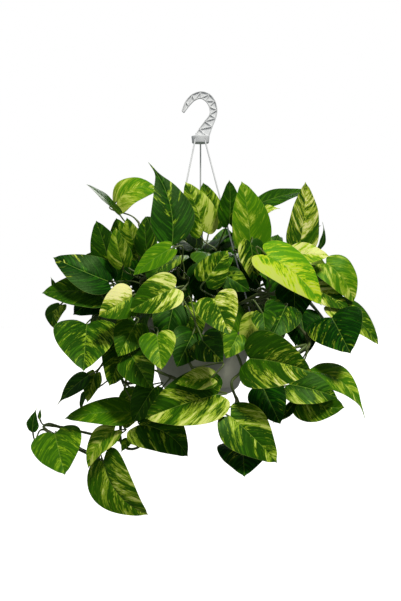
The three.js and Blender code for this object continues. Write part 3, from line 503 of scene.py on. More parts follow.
class Leaf:
    """One leaf, laid out as the eye sees it: its base and tip, as across and up on the upright plane
    through the pot's axis and the depth, and its width. Then how lime it is, how much it is streaked and
    how pale the streaks are. lean and tip_lean say how far they keep to one side and to the tip."""

    def __init__(self, base, tip, wide, lime, splash, cream=0.2, **shape):
        self.base, self.tip, self.wide = base, tip, wide
        self.lime, self.splash, self.cream = lime, splash, cream
        self.lean, self.tip_lean = 0, 0
        self.outline = HEART if wide >= HEART_FROM_WIDTH else PLAIN
        self.arch, self.fold, self.curl, self.wave, self.sickle = 30, 8, 0.08, 1.2, 0
        self.phase = (abs(base[0]) + abs(tip[1])) % FULL_TURN
        self.outward = None
        if "face" not in shape:
            vars(self).update(stand_of(base, tip, wide))
        vars(self).update(shape)

    def place(self, point, slide):
        if self.outward is None:
            return along_sight(point, slide)
        return np.asarray(point, float) + self.outward * slide

    def slide(self, attempt):
        if self.outward is not None:
            return (1 if attempt % 2 == 0 else -1) * math.ceil(attempt / 2) * SLIDE_STEP
        return (attempt if attempt < BACKWARD_TRIES else BACKWARD_TRIES - attempt - 1) * SLIDE_STEP

    def stand(self, slide):
        """Gives the blade its frame: base, length, width, and forward, upward and side directions."""
        self.root = self.place(self.base, slide)
        ahead = self.place(self.tip, slide) - self.root
        self.length = float(np.linalg.norm(ahead))
        self.forward = ahead / self.length
        azimuth, elevation = self.face
        up = polar(math.cos(math.radians(elevation)), azimuth, math.sin(math.radians(elevation)))
        self.up = unit(up - self.forward * (up @ self.forward))
        self.side = np.cross(self.up, self.forward)
        self.width = self.wide * (EYE_DISTANCE + self.root[1]) / EYE_DISTANCE

    def points(self, across, along):
        """Points of the blade's middle surface, by part of the width, signed, and part of the length."""
        across, along = np.asarray(across, float), np.asarray(along, float)
        arch, fold = math.radians(self.arch), math.radians(self.fold)
        turn = arch * (along - 0.5)
        bow = self.length / (2 * math.sin(arch / 2))
        run = bow * (np.sin(turn) + math.sin(arch / 2))
        rise = bow * (np.cos(turn) - math.cos(arch / 2))
        lateral = across * self.width
        edge = np.abs(across) * 2
        wave = np.sin(self.phase + 9 * along + np.sign(across) * 1.3) * self.wave * edge * edge
        lift = np.abs(lateral) * math.sin(fold) + wave - self.curl * edge * edge * self.width * 0.5
        sway = self.sickle * self.length * 4 * along * (1 - along)
        return (
            self.root
            + (run + lift * np.sin(turn))[..., None] * self.forward
            + (rise + lift * np.cos(turn))[..., None] * self.up
            + (lateral * math.cos(fold) + sway)[..., None] * self.side
        )


VINES = {}


def vine(name, hole, leaves):
    """A leafy stem: its hole as radius and azimuth, and its leaves from the root outwards."""
    VINES[name] = hole, leaves


vine("vine_left_top", [30, -80], [
    Leaf([-98, -250, -105], [-118, -190], 42, 0.25, 0.42, 0.35),
    Leaf([-134, -166, -50], [-66, -148, -42], 60, 0.6, 0.5,
         tip_lean=-0.4, face=[0, 36], arch=100, fold=2, sickle=0.06),
    Leaf([-131, -181, -45], [-182, -137, -62], 40, 0.03, -0.2, 0, face=[10, 66], arch=12),
])
vine("vine_left_shoulder", [46, -88], [
    Leaf([-84, -250, -112], [-88, -188], 38, 0.1, 0.25, 0.3),
    Leaf([-124, -266, -112], [-136, -206], 40, 0.3, 0.42, 0.3),
    Leaf([-143, -272, -95], [-167, -195], 56, 0.1, 0.15, 0, sickle=-0.05),
])
vine("vine_crown_left", [18, -60], [
    Leaf([-12, -238, -34], [-58, -214, 14], 56, 0.1, 0.2, 0.3, face=[-30, 70], outline=PLAIN),
    Leaf([-48, -240, -150], [-108, -283], 38, 0.5, 0.2, arch=20),
    Leaf([-46, -236, -92], [-84, -101, -58], 76, 0.03, 0.14, 0.3,
         tip_lean=0.1, face=[16, 4], arch=16, sickle=-0.1, outline=SPEAR),
])
vine("vine_crown_middle", [10, 20], [
    Leaf([6, -250, 6], [18, -226, 66], 60, 0.05, 0.12, 0.3, face=[170, 74], outline=PLAIN),
    Leaf([4, -212, -64], [-24, -133], 56, 0.15, 0.52, 0.3, lean=-0.5, fold=14),
    Leaf([46, -200, -48], [46, -130], 42, 0.08, 0.1, arch=18),
    Leaf([18, -204, 4], [4, -134], 48, 0.15, 0.42, lean=-0.2, arch=20),
])
vine("vine_crown_right", [14, 80], [
    Leaf([34, -246, 4], [92, -226, 26], 56, 0.08, 0.12, 0.3, face=[90, 70], outline=PLAIN),
    Leaf([80, -230, -118], [84, -293], 46, 0.05, 0.25, 0.6, lean=-0.35),
    Leaf([80, -234, -82], [66, -132], 68, 0.5, 0.34, lean=0.25, tip_lean=0.15, fold=16, arch=22),
    Leaf([97, -180, -40], [128, -176, -44], 22, 0.7, 0.6, 0.5, face=[0, 50], outline=SPEAR),
    Leaf([94, -168, -18], [178, -148, -8], 40, 0.12, 0.05, face=[0, 50], arch=26),
])
vine("vine_right_top", [38, 96], [
    Leaf([159, -236, -48], [168, -133], 56, 0.2, 0.55, 0.9, arch=14, fold=10),
    Leaf([146, -250, -70], [206, -252], 38, 0.75, 0.8, 0.7, arch=30),
    Leaf([185, -245, -24], [195, -197, -20], 15, 0.05, 0.05, 0, face=[50, 0], sickle=-0.14, outline=SPEAR),
])
vine("vine_right_shoulder", [54, 124], [
    Leaf([160, -264, -44], [204, -270, -36], 40, 0.55, 0.58, 0.3, face=[180, 20]),
    Leaf([184, -300, -48], [211, -300, -50], 22, 0.05, 0.1, face=[0, 60], arch=90),
    Leaf([201, -264, -46], [245, -326], 56, 0.5, 0.45, 0.25, arch=50, sickle=0.06),
])
vine("vine_right_lime", [46, 40], [
    Leaf([150, -298, -92], [150, -360], 62, 0, 0.04, 0, outline=PLAIN),
    Leaf([38, -282, -184], [79, -308], 40, 0.05, 0.12, 0.3),
    Leaf([103, -249, -128], [194, -331], 68, 0.85, 0.52, 0.25, lean=-0.42, arch=40, sickle=0.03),
    Leaf([184, -306, -78], [238, -338], 38, 0.15, 0.42, 0.8, tip_lean=-0.35),
])
vine("vine_right_far", [66, 78], [
    Leaf([160, -345, -84], [172, -408], 60, 0, 0.03, 0),
    Leaf([210, -350, -70], [240, -408], 94, 0, 0.12, 0.5, lean=-0.25),
    Leaf([212, -331, -58], [285, -394], 46, 0.15, 0.45, 0.3, lean=-0.4, arch=34, sickle=0.04),
])
vine("vine_left_middle", [64, -90], [
    Leaf([-148, -302, -62], [-204, -346], 66, 0, 0.03, 0, outline=PLAIN),
    Leaf([-148, -292, -98], [-236, -254], 60, 0, 0.1, 0.9, tip_lean=0.25, sickle=0.05),
    Leaf([-158, -312, -84], [-254, -311], 54, 0.14, 0.12, 0.3, lean=-0.1, arch=34),
    Leaf([-231, -306, -70], [-240, -284, -70], 9, 0.05, 0.1, face=[-10, 0], outline=SPEAR, arch=8),
])
vine("vine_left_low", [66, -66], [
    Leaf([-104, -360, -140], [-132, -413], 58, 0.2, 0.3, 0.3),
    Leaf([-120, -394, -112], [-146, -460], 64, 0.18, 0.3, 0.3, outline=PLAIN),
    Leaf([-182, -361, -110], [-187, -436], 104, 0.1, 0.34, lean=0.1),
    Leaf([-225, -331, -62], [-233, -369, -64], 34, 0.15, 0.3, 0.4, lean=0.25, face=[-24, 8], sickle=-0.18),
])
vine("vine_front_left", [48, -30], [
    Leaf([-41, -303, -186], [-114, -340], 64, 0.18, 0.46, 0.65, tip_lean=-0.3, fold=14),
    Leaf([-110, -317, -164], [-163, -348], 58, 0.25, 0.5, 1, lean=-0.9),
])
vine("vine_front_middle", [46, 4], [
    Leaf([8, -292, -196], [44, -243], 52, 0.1, 0.36, 0.4, arch=24),
    Leaf([22, -320, -214], [47, -378], 74, 0.15, 0.46, 0.9, lean=0.45, fold=16),
])
vine("vine_front_right", [66, 50], [
    Leaf([90, -350, -140], [62, -389], 40, 0.35, 0.75),
    Leaf([100, -342, -164], [104, -381], 40, 0.1, 0.32, 0.4),
    Leaf([136, -333, -150], [112, -385], 64, 0.05, 0.12, 0.3),
    Leaf([78, -416, -180], [179, -438], 98, 0.15, 0.28, 0.8,
         lean=-0.15, tip_lean=0.12, fold=16, sickle=0.04),
])
vine("vine_front_low", [66, -12], [
    Leaf([2, -386, -168], [36, -421], 62, 0.05, 0.14, 0.6),
    Leaf([-12, -376, -172], [-38, -430], 60, 0.05, 0.08, 0.3),
    Leaf([-70, -378, -184], [-62, -434], 60, 0.35, 0.45, 0.25, lean=0.35, fold=10),
    Leaf([-110, -412, -150], [-78, -464], 62, 0.15, 0.2, 0.4, tip_lean=0.1),
])
vine("vine_centre_trail", [66, 16], [
    Leaf([60, -378, -150], [40, -416], 42, 0.3, 0.42),
    Leaf([100, -462, -140], [128, -521], 62, 0, 0.03, 0),
    Leaf([68, -554, -112], [70, -605], 84, 0, 0.14, 0.4, tip_lean=0.15),
    Leaf([48, -508, -166], [123, -583], 78, 0.1, 0.42, 0.35, lean=0.1, arch=24, outline=PLAIN),
])
vine("vine_right_trail", [66, 64], [
    Leaf([142, -457, -130], [219, -478], 56, 0.08, 0.3, 0.3, lean=-0.35),
    Leaf([150, -484, -112], [112, -520, -116], 18, 0.05, 0.1, face=[0, 30], sickle=0.12, outline=SPEAR),
    Leaf([156, -464, -114], [231, -494], 74, 0.2, 0.22, 0.35, lean=-0.2, sickle=-0.13),
    Leaf([172, -436, -100], [264, -514], 44, 0.4, 0.32, 0.5,
         tip_lean=0.05, sickle=0.19, arch=34, outline=SPEAR),
])
vine("vine_left_trail", [66, -48], [
    Leaf([-100, -470, -96], [-122, -530], 50, 0.4, 0.5, 0.3, outline=PLAIN),
    Leaf([-74, -462, -122], [-108, -518], 52, 0.1, 0.15, 0.4),
    Leaf([-112, -502, -104], [-218, -512], 42, 0.35, 0.22, lean=-0.15),
    Leaf([-168, -440, -84], [-181, -486], 30, 0.3, 0.5),
    Leaf([-178, -442, -96], [-230, -491, -94], 40, 0.05, 0.05, face=[-20, 40], outline=SPEAR),
    Leaf([-184, -468, -72], [-192, -503, -74], 14, 0.05, 0.08, face=[-40, 0], outline=SPEAR),
])
vine("vine_low_left", [66, -30], [
    Leaf([20, -447, -162], [-40, -456], 36, 0.35, 0.58, 0.35),
    Leaf([28, -473, -150], [-89, -512], 90, 0.12, 0.42, 0.5, lean=0.4, fold=20),
    Leaf([-97, -521, -110], [-20, -573], 76, 0.08, 0.25, 0.3, tip_lean=-0.2, sickle=0.12),
])
vine("vine_far_left", [66, -76], [
    Leaf([-138, -531, -98], [-180, -592], 38, 0.35, 0.58, 0.35, sickle=-0.1),
    Leaf([-116, -543, -90], [-128, -567, -90], 16, 0.4, 0.3, face=[20, 10], outline=SPEAR),
    Leaf([-156, -581, -84], [-83, -666], 80, 0.25, 0.4, 0.5, lean=0.1, tip_lean=0.1, sickle=-0.12),
    Leaf([-233, -536, -84], [-217, -602], 84, 0.26, 0.3, 0.1, arch=20),
    Leaf([-269, -534, -80], [-262, -494, -80], 24, 0.05, 0.08, face=[-30, 0], outline=SPEAR),
    Leaf([-258, -513, -82], [-256, -494, -82], 6, 0.05, 0.05, face=[0, 0], outline=SPEAR, arch=6),
])
vine("vine_core_left", [26, -115], [
    Leaf([-114, -236, -24], [-130, -304], 60, 0.02, 0.04),
    Leaf([-88, -262, 4], [-94, -324], 54, 0.04, 0.06),
    Leaf([-72, -228, 26], [-86, -188], 50, 0.05, 0.1),
    Leaf([-118, -244, -34], [-135, -191], 46, 0.25, 0.35, 0.3),
])
vine("vine_core_middle", [26, 200], [
    Leaf([-6, -244, 0], [-28, -322], 68, 0.02, 0.04),
    Leaf([28, -248, 4], [38, -322], 66, 0.04, 0.08),
    Leaf([6, -270, -46], [8, -338], 58, 0.02, 0.02),
    Leaf([38, -258, 26], [40, -206], 54, 0.05, 0.08),
])
vine("vine_core_right", [26, 140], [
    Leaf([66, -268, -30], [72, -338], 60, 0.02, 0.04),
    Leaf([124, -272, -30], [128, -334], 54, 0.04, 0.1),
    Leaf([112, -262, 0], [124, -217], 46, 0.1, 0.12),
])
vine("vine_core_front", [56, -57], [
    Leaf([-44, -334, -118], [-58, -400], 60, 0.03, 0.05),
])

# A stem that passes the bases of its leaves by an offset of its own
BEHIND = {"vine_far_left": [10, 26, -4]}

# At the sides and behind, and close round the pot in front, stems and leaves follow a rule. A level has the
# base and the tip of its leaves as radius and height, their width, and how steeply they face upwards.
RULES = [
    {
        "name": "vine_back", "seed": 65, "count": 8, "first_azimuth": 97, "step": 24, "roots": [58, 42],
        "levels": [
            ([60, -240], [118, -210], 74, 62),
            ([118, -246], [176, -304], 80, 38),
            ([140, -322], [186, -392], 82, 24),
            ([112, -370], [142, -438], 74, 8),
        ],
    },
    {
        "name": "vine_inner", "seed": 531, "count": 4, "first_azimuth": -64, "step": 42, "roots": [36, 30],
        "levels": [
            ([74, -250], [124, -300], 68, 44),
            ([96, -334], [118, -398], 66, 12),
        ],
    },
]


def ruled_tone(mood):
    """How lime, streaked and pale a leaf is, drawn by chance."""
    return {
        "lime": 0.02 + 0.3 * mood() ** 2, "splash": 0.04 + 0.34 * mood(), "lean": 0.3 * (mood() - 0.5),
        "tip_lean": 0.1 * mood(), "cream": 0.5 * mood(),
    }


def ruled_vine(rule, number):
    """The hole and the leaves of one stem of a rule."""
    chance = chance_from(rule["seed"] + number)
    mood = chance_from(rule["seed"] * 31 + number)

    def spread(size):
        return (chance() - 0.5) * 2 * size

    middle = rule["first_azimuth"] + number * rule["step"]
    leaves = []
    for index, ((base_radius, base_z), (tip_radius, tip_z), wide, elevation) in enumerate(rule["levels"]):
        azimuth = middle + (-1 if index % 2 == 0 else 1) * 7 + spread(3)
        base = polar(base_radius + spread(8), azimuth, base_z + spread(9))
        tip = polar(tip_radius + spread(8), azimuth + spread(12), tip_z + spread(9))
        wide += spread(6)
        face = [azimuth + spread(18), elevation + spread(8)]
        arch, fold, sickle = 34 + spread(14), 9 + spread(5), spread(0.05)
        leaves.append(Leaf(
            base, tip, wide, face=face, arch=arch, fold=fold, sickle=sickle,
            outward=polar(1, azimuth, 0), outline=PLAIN, **ruled_tone(mood),
        ))
    return [rule["roots"][number % 2], middle + 3], leaves


for rule in RULES:
    for number in range(rule["count"]):
        vine(f"{rule['name']}_{number + 1}", *ruled_vine(rule, number))


# Routes of stems and petioles, each with as many tries as it took to find free room

# How far out from the rim or its hole a stem turns over, and how high above the rim or the soil
TURN_OUT = 4
TURN_OVER_RIM = 24
TURN_OVER_SOIL = 36
STEM_START = 9
LINE_STEPS = 8
# After so many tries a petiole's knee and bend may stray this far, and how deep it ends in its blade
TRIES_TO_WILD = 120
KNEE_REACH = 14
BEND_REACH = 14
SUNK_IN_BLADE = 3.5


def soil_top(radius):
    return POT_RIM_Z - SOIL_BELOW_RIM + SOIL_CROWN * (1 - (radius / POT_RIM_RADIUS) ** 2)


def shifted(point, chance, size):
    return point + 2 * size * np.array([chance() - 0.5, chance() - 0.5, chance() - 0.5])


def stem_line(hole, leaves, behind, number, attempt):
    """A stem rises from its hole, passes over the rim if its leaves hang outside, and runs behind them."""
    chance = chance_from(number * 1000 + attempt)
    size = min(40, 3.5 * math.sqrt(attempt))
    radius, azimuth = hole
    ground = soil_top(radius)
    root = [polar(radius, azimuth, ground + up) for up in (-STEM_START, 0, STEM_START)]
    bases = [leaf.root for leaf in leaves]
    if sum(base[2] for base in bases) / len(bases) < TRAILING_BELOW_Z:
        turning = polar(POT_RIM_RADIUS + TURN_OUT, azimuth, POT_RIM_Z + TURN_OVER_RIM)
    else:
        turning = polar(radius + TURN_OUT, azimuth, ground + TURN_OVER_SOIL)
    turning = shifted(turning, chance, size * 0.4)
    if behind:
        wanted = [base + np.array(behind) for base in bases]
    else:
        wanted = [
            base + (turning - base) * min(0.5, STEM_REACH / distance(turning, base)) for base in bases
        ]
    wanted.sort(key=lambda point: distance(point, turning))
    last = wanted[-1]
    passed = []
    for point in wanted:
        share = min(1, distance(point, turning) / distance(last, turning))
        straight = turning + (last - turning) * share
        passed.append(shifted(point + (straight - point) * (0 if behind else 0.5), chance, size))
    return smooth_line([*root, turning, *passed], LINE_STEPS)[2 * LINE_STEPS:]


def petiole_line(hole, rings, leaf, attempt):
    """A petiole leaves its stem, comes up to the notch of its blade from behind and ends inside it."""
    chance = chance_from(leaf.number * 1000 + attempt + 500)
    wild = min(1, attempt / TRIES_TO_WILD)
    dip = math.radians(38) + (chance() - 0.5) * 2.4 * wild
    swing = (chance() - 0.5) * 2 * wild
    away = unit(-math.cos(dip) * leaf.forward - math.sin(dip) * leaf.up + swing * leaf.side)
    knee = leaf.root + away * (16 + chance() * KNEE_REACH * wild)
    ground = next(i for i, ring in enumerate(rings) if ring[2] > soil_top(hole[0]) + STEM_RADIUS * 2)
    nearest = ground + int(np.argmin(np.linalg.norm(rings[ground:] - knee, axis=1)))
    start = max(ground, nearest - math.floor(0.5 + chance() * 3 * wild))
    leaving = rings[start] + unit(rings[start] - rings[start - 1]) * 8
    bend = shifted(leaving + (knee - leaving) * 0.25, chance, BEND_REACH * wild)
    first_foot = next(foot for foot in vein_foot([part for _, part in leaf.outline]) if foot > 0)
    rib = leaf.points(0, first_foot)
    share = min(0.5, SUNK_IN_BLADE / distance(leaf.root, rib))
    sunk = leaf.root + (rib - leaf.root) * share - leaf.up * 0.15
    return smooth_line([rings[start], bend, knee, sunk], 6)


# Reading off the solids how far each blade slid and which try each route took

# How closely a ring's corners and its middle match the solid, and how good a match ends the search
CORNER_MATCH = 0.03
DEPTH_MATCH = 0.1
GOOD_FIT = 1.5


class Solid:
    """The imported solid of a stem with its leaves, as corners and as a surface."""

    def __init__(self, name):
        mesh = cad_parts[name].data
        places = np.zeros(len(mesh.vertices) * 3)
        mesh.vertices.foreach_get("co", places)
        places = (places.reshape(-1, 3) / MM).tolist()
        mesh.calc_loop_triangles()
        self.surface = BVHTree.FromPolygons(places, [tuple(t.vertices) for t in mesh.loop_triangles])
        self.corners = KDTree(len(places))
        for index, place in enumerate(places):
            self.corners.insert(place, index)
        self.corners.balance()

    def to_surface(self, points):
        return np.array([self.surface.find_nearest(point)[3] for point in points.tolist()])

    def to_corner(self, points):
        return np.array([self.corners.find(point)[2] for point in points.tolist()])


def settle_blade(leaf, solid):
    """Stands a blade at the slide where its outline fits the solid best."""
    corners = np.array([[side * part, along] for part, along in leaf.outline for side in (-1, 1)])
    misses = []
    for attempt in range(SLIDE_TRIES):
        leaf.stand(leaf.slide(attempt))
        misses.append(solid.to_corner(leaf.points(*corners.T)).mean())
    leaf.stand(leaf.slide(int(np.argmin(misses))))


def settle_route(solid, make_line, make_rings, radius, sides):
    """The try whose rings have the solid's corners round them and whose middle lies deep inside it."""
    inner_radius = radius * math.cos(math.pi / sides)
    best, chosen = -1, None
    for attempt in range(ROUTE_TRIES):
        line = make_line(attempt)
        rings = make_rings(line)
        hits = np.abs(solid.to_corner(rings[1:-1]) - radius) < CORNER_MATCH
        if not hits.any() and attempt > 0:
            continue
        depth = solid.to_surface(spaced(rings, 4, 1)[2:-2])
        fit = float(np.mean(np.abs(depth - inner_radius) < DEPTH_MATCH) + hits.mean())
        if fit > best:
            best, chosen = fit, (line, rings)
        if fit > GOOD_FIT:
            break
    return chosen


def settle_vine(name, number):
    """Stands the blades and petioles of a stem, and gives the stem's own line."""
    hole, leaves = VINES[name]
    solid = Solid(name)
    for leaf in leaves:
        settle_blade(leaf, solid)
    radius, azimuth = hole
    root_end = polar(radius, azimuth, soil_top(radius) - ROOT_DEPTH)
    line, rings = settle_route(
        solid,
        lambda attempt: stem_line(hole, leaves, BEHIND.get(name), number, attempt),
        lambda line: np.vstack([root_end, spaced(line, STEM_RING_SPACING, 5)]),
        STEM_RADIUS, 4,
    )
    for leaf in leaves:
        leaf.petiole, _ = settle_route(
            solid,
            lambda attempt: petiole_line(hole, rings, leaf, attempt),
            lambda line: spaced(line, PETIOLE_RING_SPACING, 2),
            PETIOLE_RADIUS, 3,
        )
    return np.vstack([root_end, line])


# Fine blades

BLADE_THICKNESS = 0.7
LOBE_ROWS = 10
ROWS_PER_VEIN = 4
COLUMNS = np.array([0, 0.014, 0.04, 0.09, 0.17, 0.27, 0.39, 0.52, 0.65, 0.77, 0.87, 0.95, 1])
# Depth and breadth of the groove above the midrib and of the ridge below it, on a blade of this width
RELIEF_WIDTH = 80
GROOVE = (0.55, 1.7)
RIDGE = (0.7, 1.3)


def blade_rows(leaf):
    """Where each row leaves the midrib and where it ends on the margin, all as parts of the blade."""
    tip_side = leaf.outline[-2]
    drip = [tip_side[0] * 0.22, 1 - (1 - tip_side[1]) * 0.3]
    margin = smooth_line([*leaf.outline[:-1], drip, [0, 1]], 12)
    split = next(i for i, (_, along) in enumerate(margin) if along > LOBE and i > 6)
    lobe = spaced(margin[:split + 1], 1, LOBE_ROWS)[1:-1]
    rows = max(4, round(leaf.length / VEIN_SPACING)) * ROWS_PER_VEIN
    feet = np.arange(0, rows) / rows
    alongs = LOBE + (1 - LOBE) * feet
    rib_ends = np.column_stack([np.interp(alongs, margin[split - 1:, 1], margin[split - 1:, 0]), alongs])
    return np.concatenate([np.zeros(len(lobe)), feet]), np.vstack([lobe, rib_ends])


def blade_faces(rows, columns):
    """The faces over both halves of a blade and the edges round it. Its last points are notch and tip."""
    right = np.arange(rows * columns).reshape(rows, columns)
    left = rows * columns + np.arange(rows * (columns - 1)).reshape(rows, -1)
    left = np.column_stack([right[:, 0], left])
    notch = rows * (2 * columns - 1)
    tip = notch + 1
    faces, rim = [], []
    for grid, turn in ((right, 1), (left, -1)):
        grid[:LOBE_ROWS - 1, 0] = notch
        corners = grid[:-1, :-1], grid[:-1, 1:], grid[1:, 1:], grid[1:, :-1]
        quads = np.stack(corners, axis=-1).reshape(-1, 4).tolist()
        first, last = grid[0].tolist(), grid[-1].tolist()
        fans = [[notch, a, b] for a, b in zip(first, first[1:]) if a != notch]
        tips = [[a, b, tip] for a, b in zip(last, last[1:])]
        own = [list(dict.fromkeys(face))[::turn] for face in quads + fans + tips]
        faces += [face for face in own if len(face) > 2]
        edge = [notch, *grid[:, -1].tolist(), tip][::turn]
        rim += list(zip(edge, edge[1:]))
    return faces, rim


def blade_mesh(leaf):
    """A closed blade: places, faces and the values the leaf material reads."""
    feet, ends = blade_rows(leaf)
    share = COLUMNS[None, :]
    across = ends[:, :1] * share
    along = feet[:, None] + (ends[:, 1:] - feet[:, None]) * share**1.3
    share = np.broadcast_to(share, across.shape)
    faces, rim = blade_faces(*across.shape)
    # The two halves share the midrib; the notch and the tip are single points.
    half_across = np.concatenate([across.ravel(), -across[:, 1:].ravel(), [0, 0]])
    half_along = np.concatenate([along.ravel(), along[:, 1:].ravel(), [0, 1]])
    share = np.concatenate([share.ravel(), share[:, 1:].ravel(), [0, 1]])
    count = len(half_across)

    step = 1e-3
    ahead = leaf.points(half_across, half_along + step) - leaf.points(half_across, half_along - step)
    aside = leaf.points(half_across + step, half_along) - leaf.points(half_across - step, half_along)
    normal = unit_rows(np.cross(ahead, aside))
    if normal[len(normal) // 3] @ leaf.up < 0:
        normal = -normal
    middle = leaf.points(half_across, half_along)
    signed = half_across * leaf.width
    off = np.abs(signed)
    size = leaf.width / RELIEF_WIDTH
    groove = -GROOVE[0] * size * np.exp(-(off / (GROOVE[1] * size)) ** 2)
    ridge = RIDGE[0] * size * np.exp(-(off / (RIDGE[1] * size)) ** 2) * (1 - half_along)
    thickness = BLADE_THICKNESS * (1 - 0.45 * share)
    top = middle + normal * (thickness / 2 + groove)[:, None]
    bottom = middle - normal * (thickness / 2 - groove + ridge)[:, None]
    faces += [[corner + count for corner in face[::-1]] for face in faces]
    faces += [[b, a, a + count, b + count] for a, b in rim]

    def carried(x, y, z):
        return np.column_stack([np.broadcast_to(value, count) for value in (x, y, z)])

    foot_mm = half_along * leaf.length - off * (0.7 + 0.5 * share)
    splash = leaf.splash + leaf.lean * half_across * 2 + leaf.tip_lean * (half_along * 2 - 1)
    values = {
        "vein": [carried(signed, foot_mm, leaf.number * 7.31 + 3)] * 2,
        "look": [carried(leaf.lime, splash, leaf.cream)] * 2,
        "place": [carried(share, half_along, 0), carried(share, half_along, 1)],
    }
    return np.vstack([top, bottom]), faces, values


def make_blades(name, leaves):
    blades = [blade_mesh(leaf) for leaf in leaves]
    places, faces = merged([blade[:2] for blade in blades])
    piece = new_piece(f"{name}_leaves", places, faces, LEAF, sharp=60)
    for key in ("vein", "look", "place"):
        values = np.concatenate([half for blade in blades for half in blade[2][key]])
        piece.data.attributes.new(key, "FLOAT_VECTOR", "POINT").data.foreach_set("vector", values.ravel())
    return piece


# Fine stems, as tubes along their routes

STEM_STEP = 2.5
STEM_SIDES = 10
PETIOLE_STEP = 1.6
JOINT_REACH = 3.5


class Shaping(Nodes):
    """Geometry Nodes in the making, with the geometry going in and further inputs by name and kind."""

    def __init__(self, name, **inputs):
        super().__init__(bpy.data.node_groups.new(name, "GeometryNodeTree"))
        sockets = self.tree.interface
        sockets.new_socket("Geometry", in_out="OUTPUT", socket_type="NodeSocketGeometry")
        for socket, kind in {"Geometry": "Geometry", **inputs, "Material": "Material"}.items():
            sockets.new_socket(socket, in_out="INPUT", socket_type=f"NodeSocket{kind}")
        self.given = self.add("NodeGroupInput")

    def result(self, shape):
        """The whole tree, which ends with its shape made real and painted."""
        real = self.add("GeometryNodeRealizeInstances", {0: shape})[0]
        paint = self.given["Material"]
        painted = self.add("GeometryNodeSetMaterial", {"Geometry": real, "Material": paint})[0]
        self.add("NodeGroupOutput", {0: painted})
        return self.tree


def run_tree(piece, tree, **values):
    """Gives a piece the tree with its inputs set, and turns what comes out into plain mesh."""
    modifier = piece.modifiers.new(tree.name, "NODES")
    modifier.node_group = tree
    for item in tree.interface.items_tree:
        if item.in_out == "INPUT" and item.name in values:
            modifier[item.identifier] = values[item.name]
    return baked(piece)


def tube_tree():
    """Round tubes along edges, as thick as the thickness stored at each point."""
    tubes = Shaping("tubes", Sides="Int")
    curve = tubes.add("GeometryNodeMeshToCurve", {"Mesh": tubes.given["Geometry"]})[0]
    section = {"Resolution": tubes.given["Sides"], "Radius": 1.0}
    circle = tubes.add("GeometryNodeCurvePrimitiveCircle", section)[0]
    thickness = tubes.add("GeometryNodeInputNamedAttribute", {"Name": "thickness"}, data_type="FLOAT")[0]
    tube = tubes.add("GeometryNodeCurveToMesh", {
        "Curve": curve, "Profile Curve": circle, "Scale": thickness, "Fill Caps": True,
    })[0]
    return tubes.result(tubes.add("GeometryNodeSetShadeSmooth", {"Geometry": tube})[0])


TUBES = tube_tree()


def make_tubes(name, lines, sides, material):
    """Tubes along lines, each line a list of places, radii and the values the material reads."""
    places, radii, runs = (np.concatenate(part) for part in zip(*lines))
    edges = []
    count = 0
    for line, _, _ in lines:
        edges += [(count + i, count + i + 1) for i in range(len(line) - 1)]
        count += len(line)
    mesh = bpy.data.meshes.new(name)
    mesh.from_pydata((places * MM).tolist(), edges, [])
    mesh.attributes.new("thickness", "FLOAT", "POINT").data.foreach_set("value", radii * MM)
    mesh.attributes.new("run", "FLOAT_VECTOR", "POINT").data.foreach_set("vector", runs.ravel())
    return run_tree(add_object(name, mesh), TUBES, Sides=sides, Material=material)


def stem_tube(line, leaves, seed):
    """The stem, swollen at each joint where a petiole leaves it."""
    places = spaced(line, STEM_STEP, 8)
    run = run_of(places)
    joint = np.zeros(len(places))
    for leaf in leaves:
        off = np.linalg.norm(places - leaf.petiole[0], axis=1)
        joint = np.maximum(joint, np.exp(-(off / JOINT_REACH) ** 2))
    wobble = 0.05 * np.sin(run * 0.31 + seed) + 0.03 * np.sin(run * 0.83 + seed * 2)
    radii = STEM_RADIUS * (0.9 + wobble + 0.22 * joint)
    ends = np.minimum(1, 0.5 + (run[-1] - run) / 8)
    return places, radii * ends, np.column_stack([run, joint, np.full(len(places), seed)])


def petiole_tube(leaf, seed):
    """The petiole: broad where it sheathes the stem, slim along its run, a little thicker at the blade."""
    places = spaced(leaf.petiole, PETIOLE_STEP, 6)
    run = run_of(places)
    left = run[-1] - run
    radii = PETIOLE_RADIUS * (0.82 + 0.5 * np.exp(-(run / 9) ** 2) + 0.22 * np.exp(-((left - 7) / 4) ** 2))
    radii *= np.minimum(1, 0.26 + left / 5)
    return places, radii, np.column_stack([run, np.exp(-run / 4), np.full(len(places), seed)])


def make_vines():
    number = 0
    for index, (name, (_, leaves)) in enumerate(VINES.items()):
        for leaf in leaves:
            number += 1
            leaf.number = number
        line = settle_vine(name, index + 1)
        finish_piece(make_blades(name, leaves), "leaf", name)
        seed = index * 3.7
        lines = [stem_tube(line, leaves, seed)]
        lines += [petiole_tube(leaf, seed + 1 + i) for i, leaf in enumerate(leaves)]
        finish_piece(make_tubes(f"{name}_stem", lines, STEM_SIDES, STEM), "stem", name)


# Pot, soil, hook and strands


def lathe(name, profile, segments, material):
    """A closed shape turned about the upright axis; the profile runs from the axis to the axis."""
    profile = np.asarray(profile, float)
    angles = 2 * math.pi * np.arange(segments) / segments
    body = profile[1:-1]
    around = [body[:, :1] * np.cos(angles), body[:, :1] * np.sin(angles)]
    rings = np.stack([*around, np.repeat(body[:, 1:], segments, axis=1)], axis=-1).reshape(-1, 3)
    bottom, top = len(rings), len(rings) + 1
    places = np.vstack([rings, [0, 0, profile[0][1]], [0, 0, profile[-1][1]]])
    faces = []
    last = len(rings) - segments
    for k in range(segments):
        after = (k + 1) % segments
        faces.append([bottom, after, k])
        lower = range(0, last, segments)
        faces += [[i + k, i + after, i + segments + after, i + segments + k] for i in lower]
        faces.append([last + k, last + after, top])
    return new_piece(name, places, faces, material)


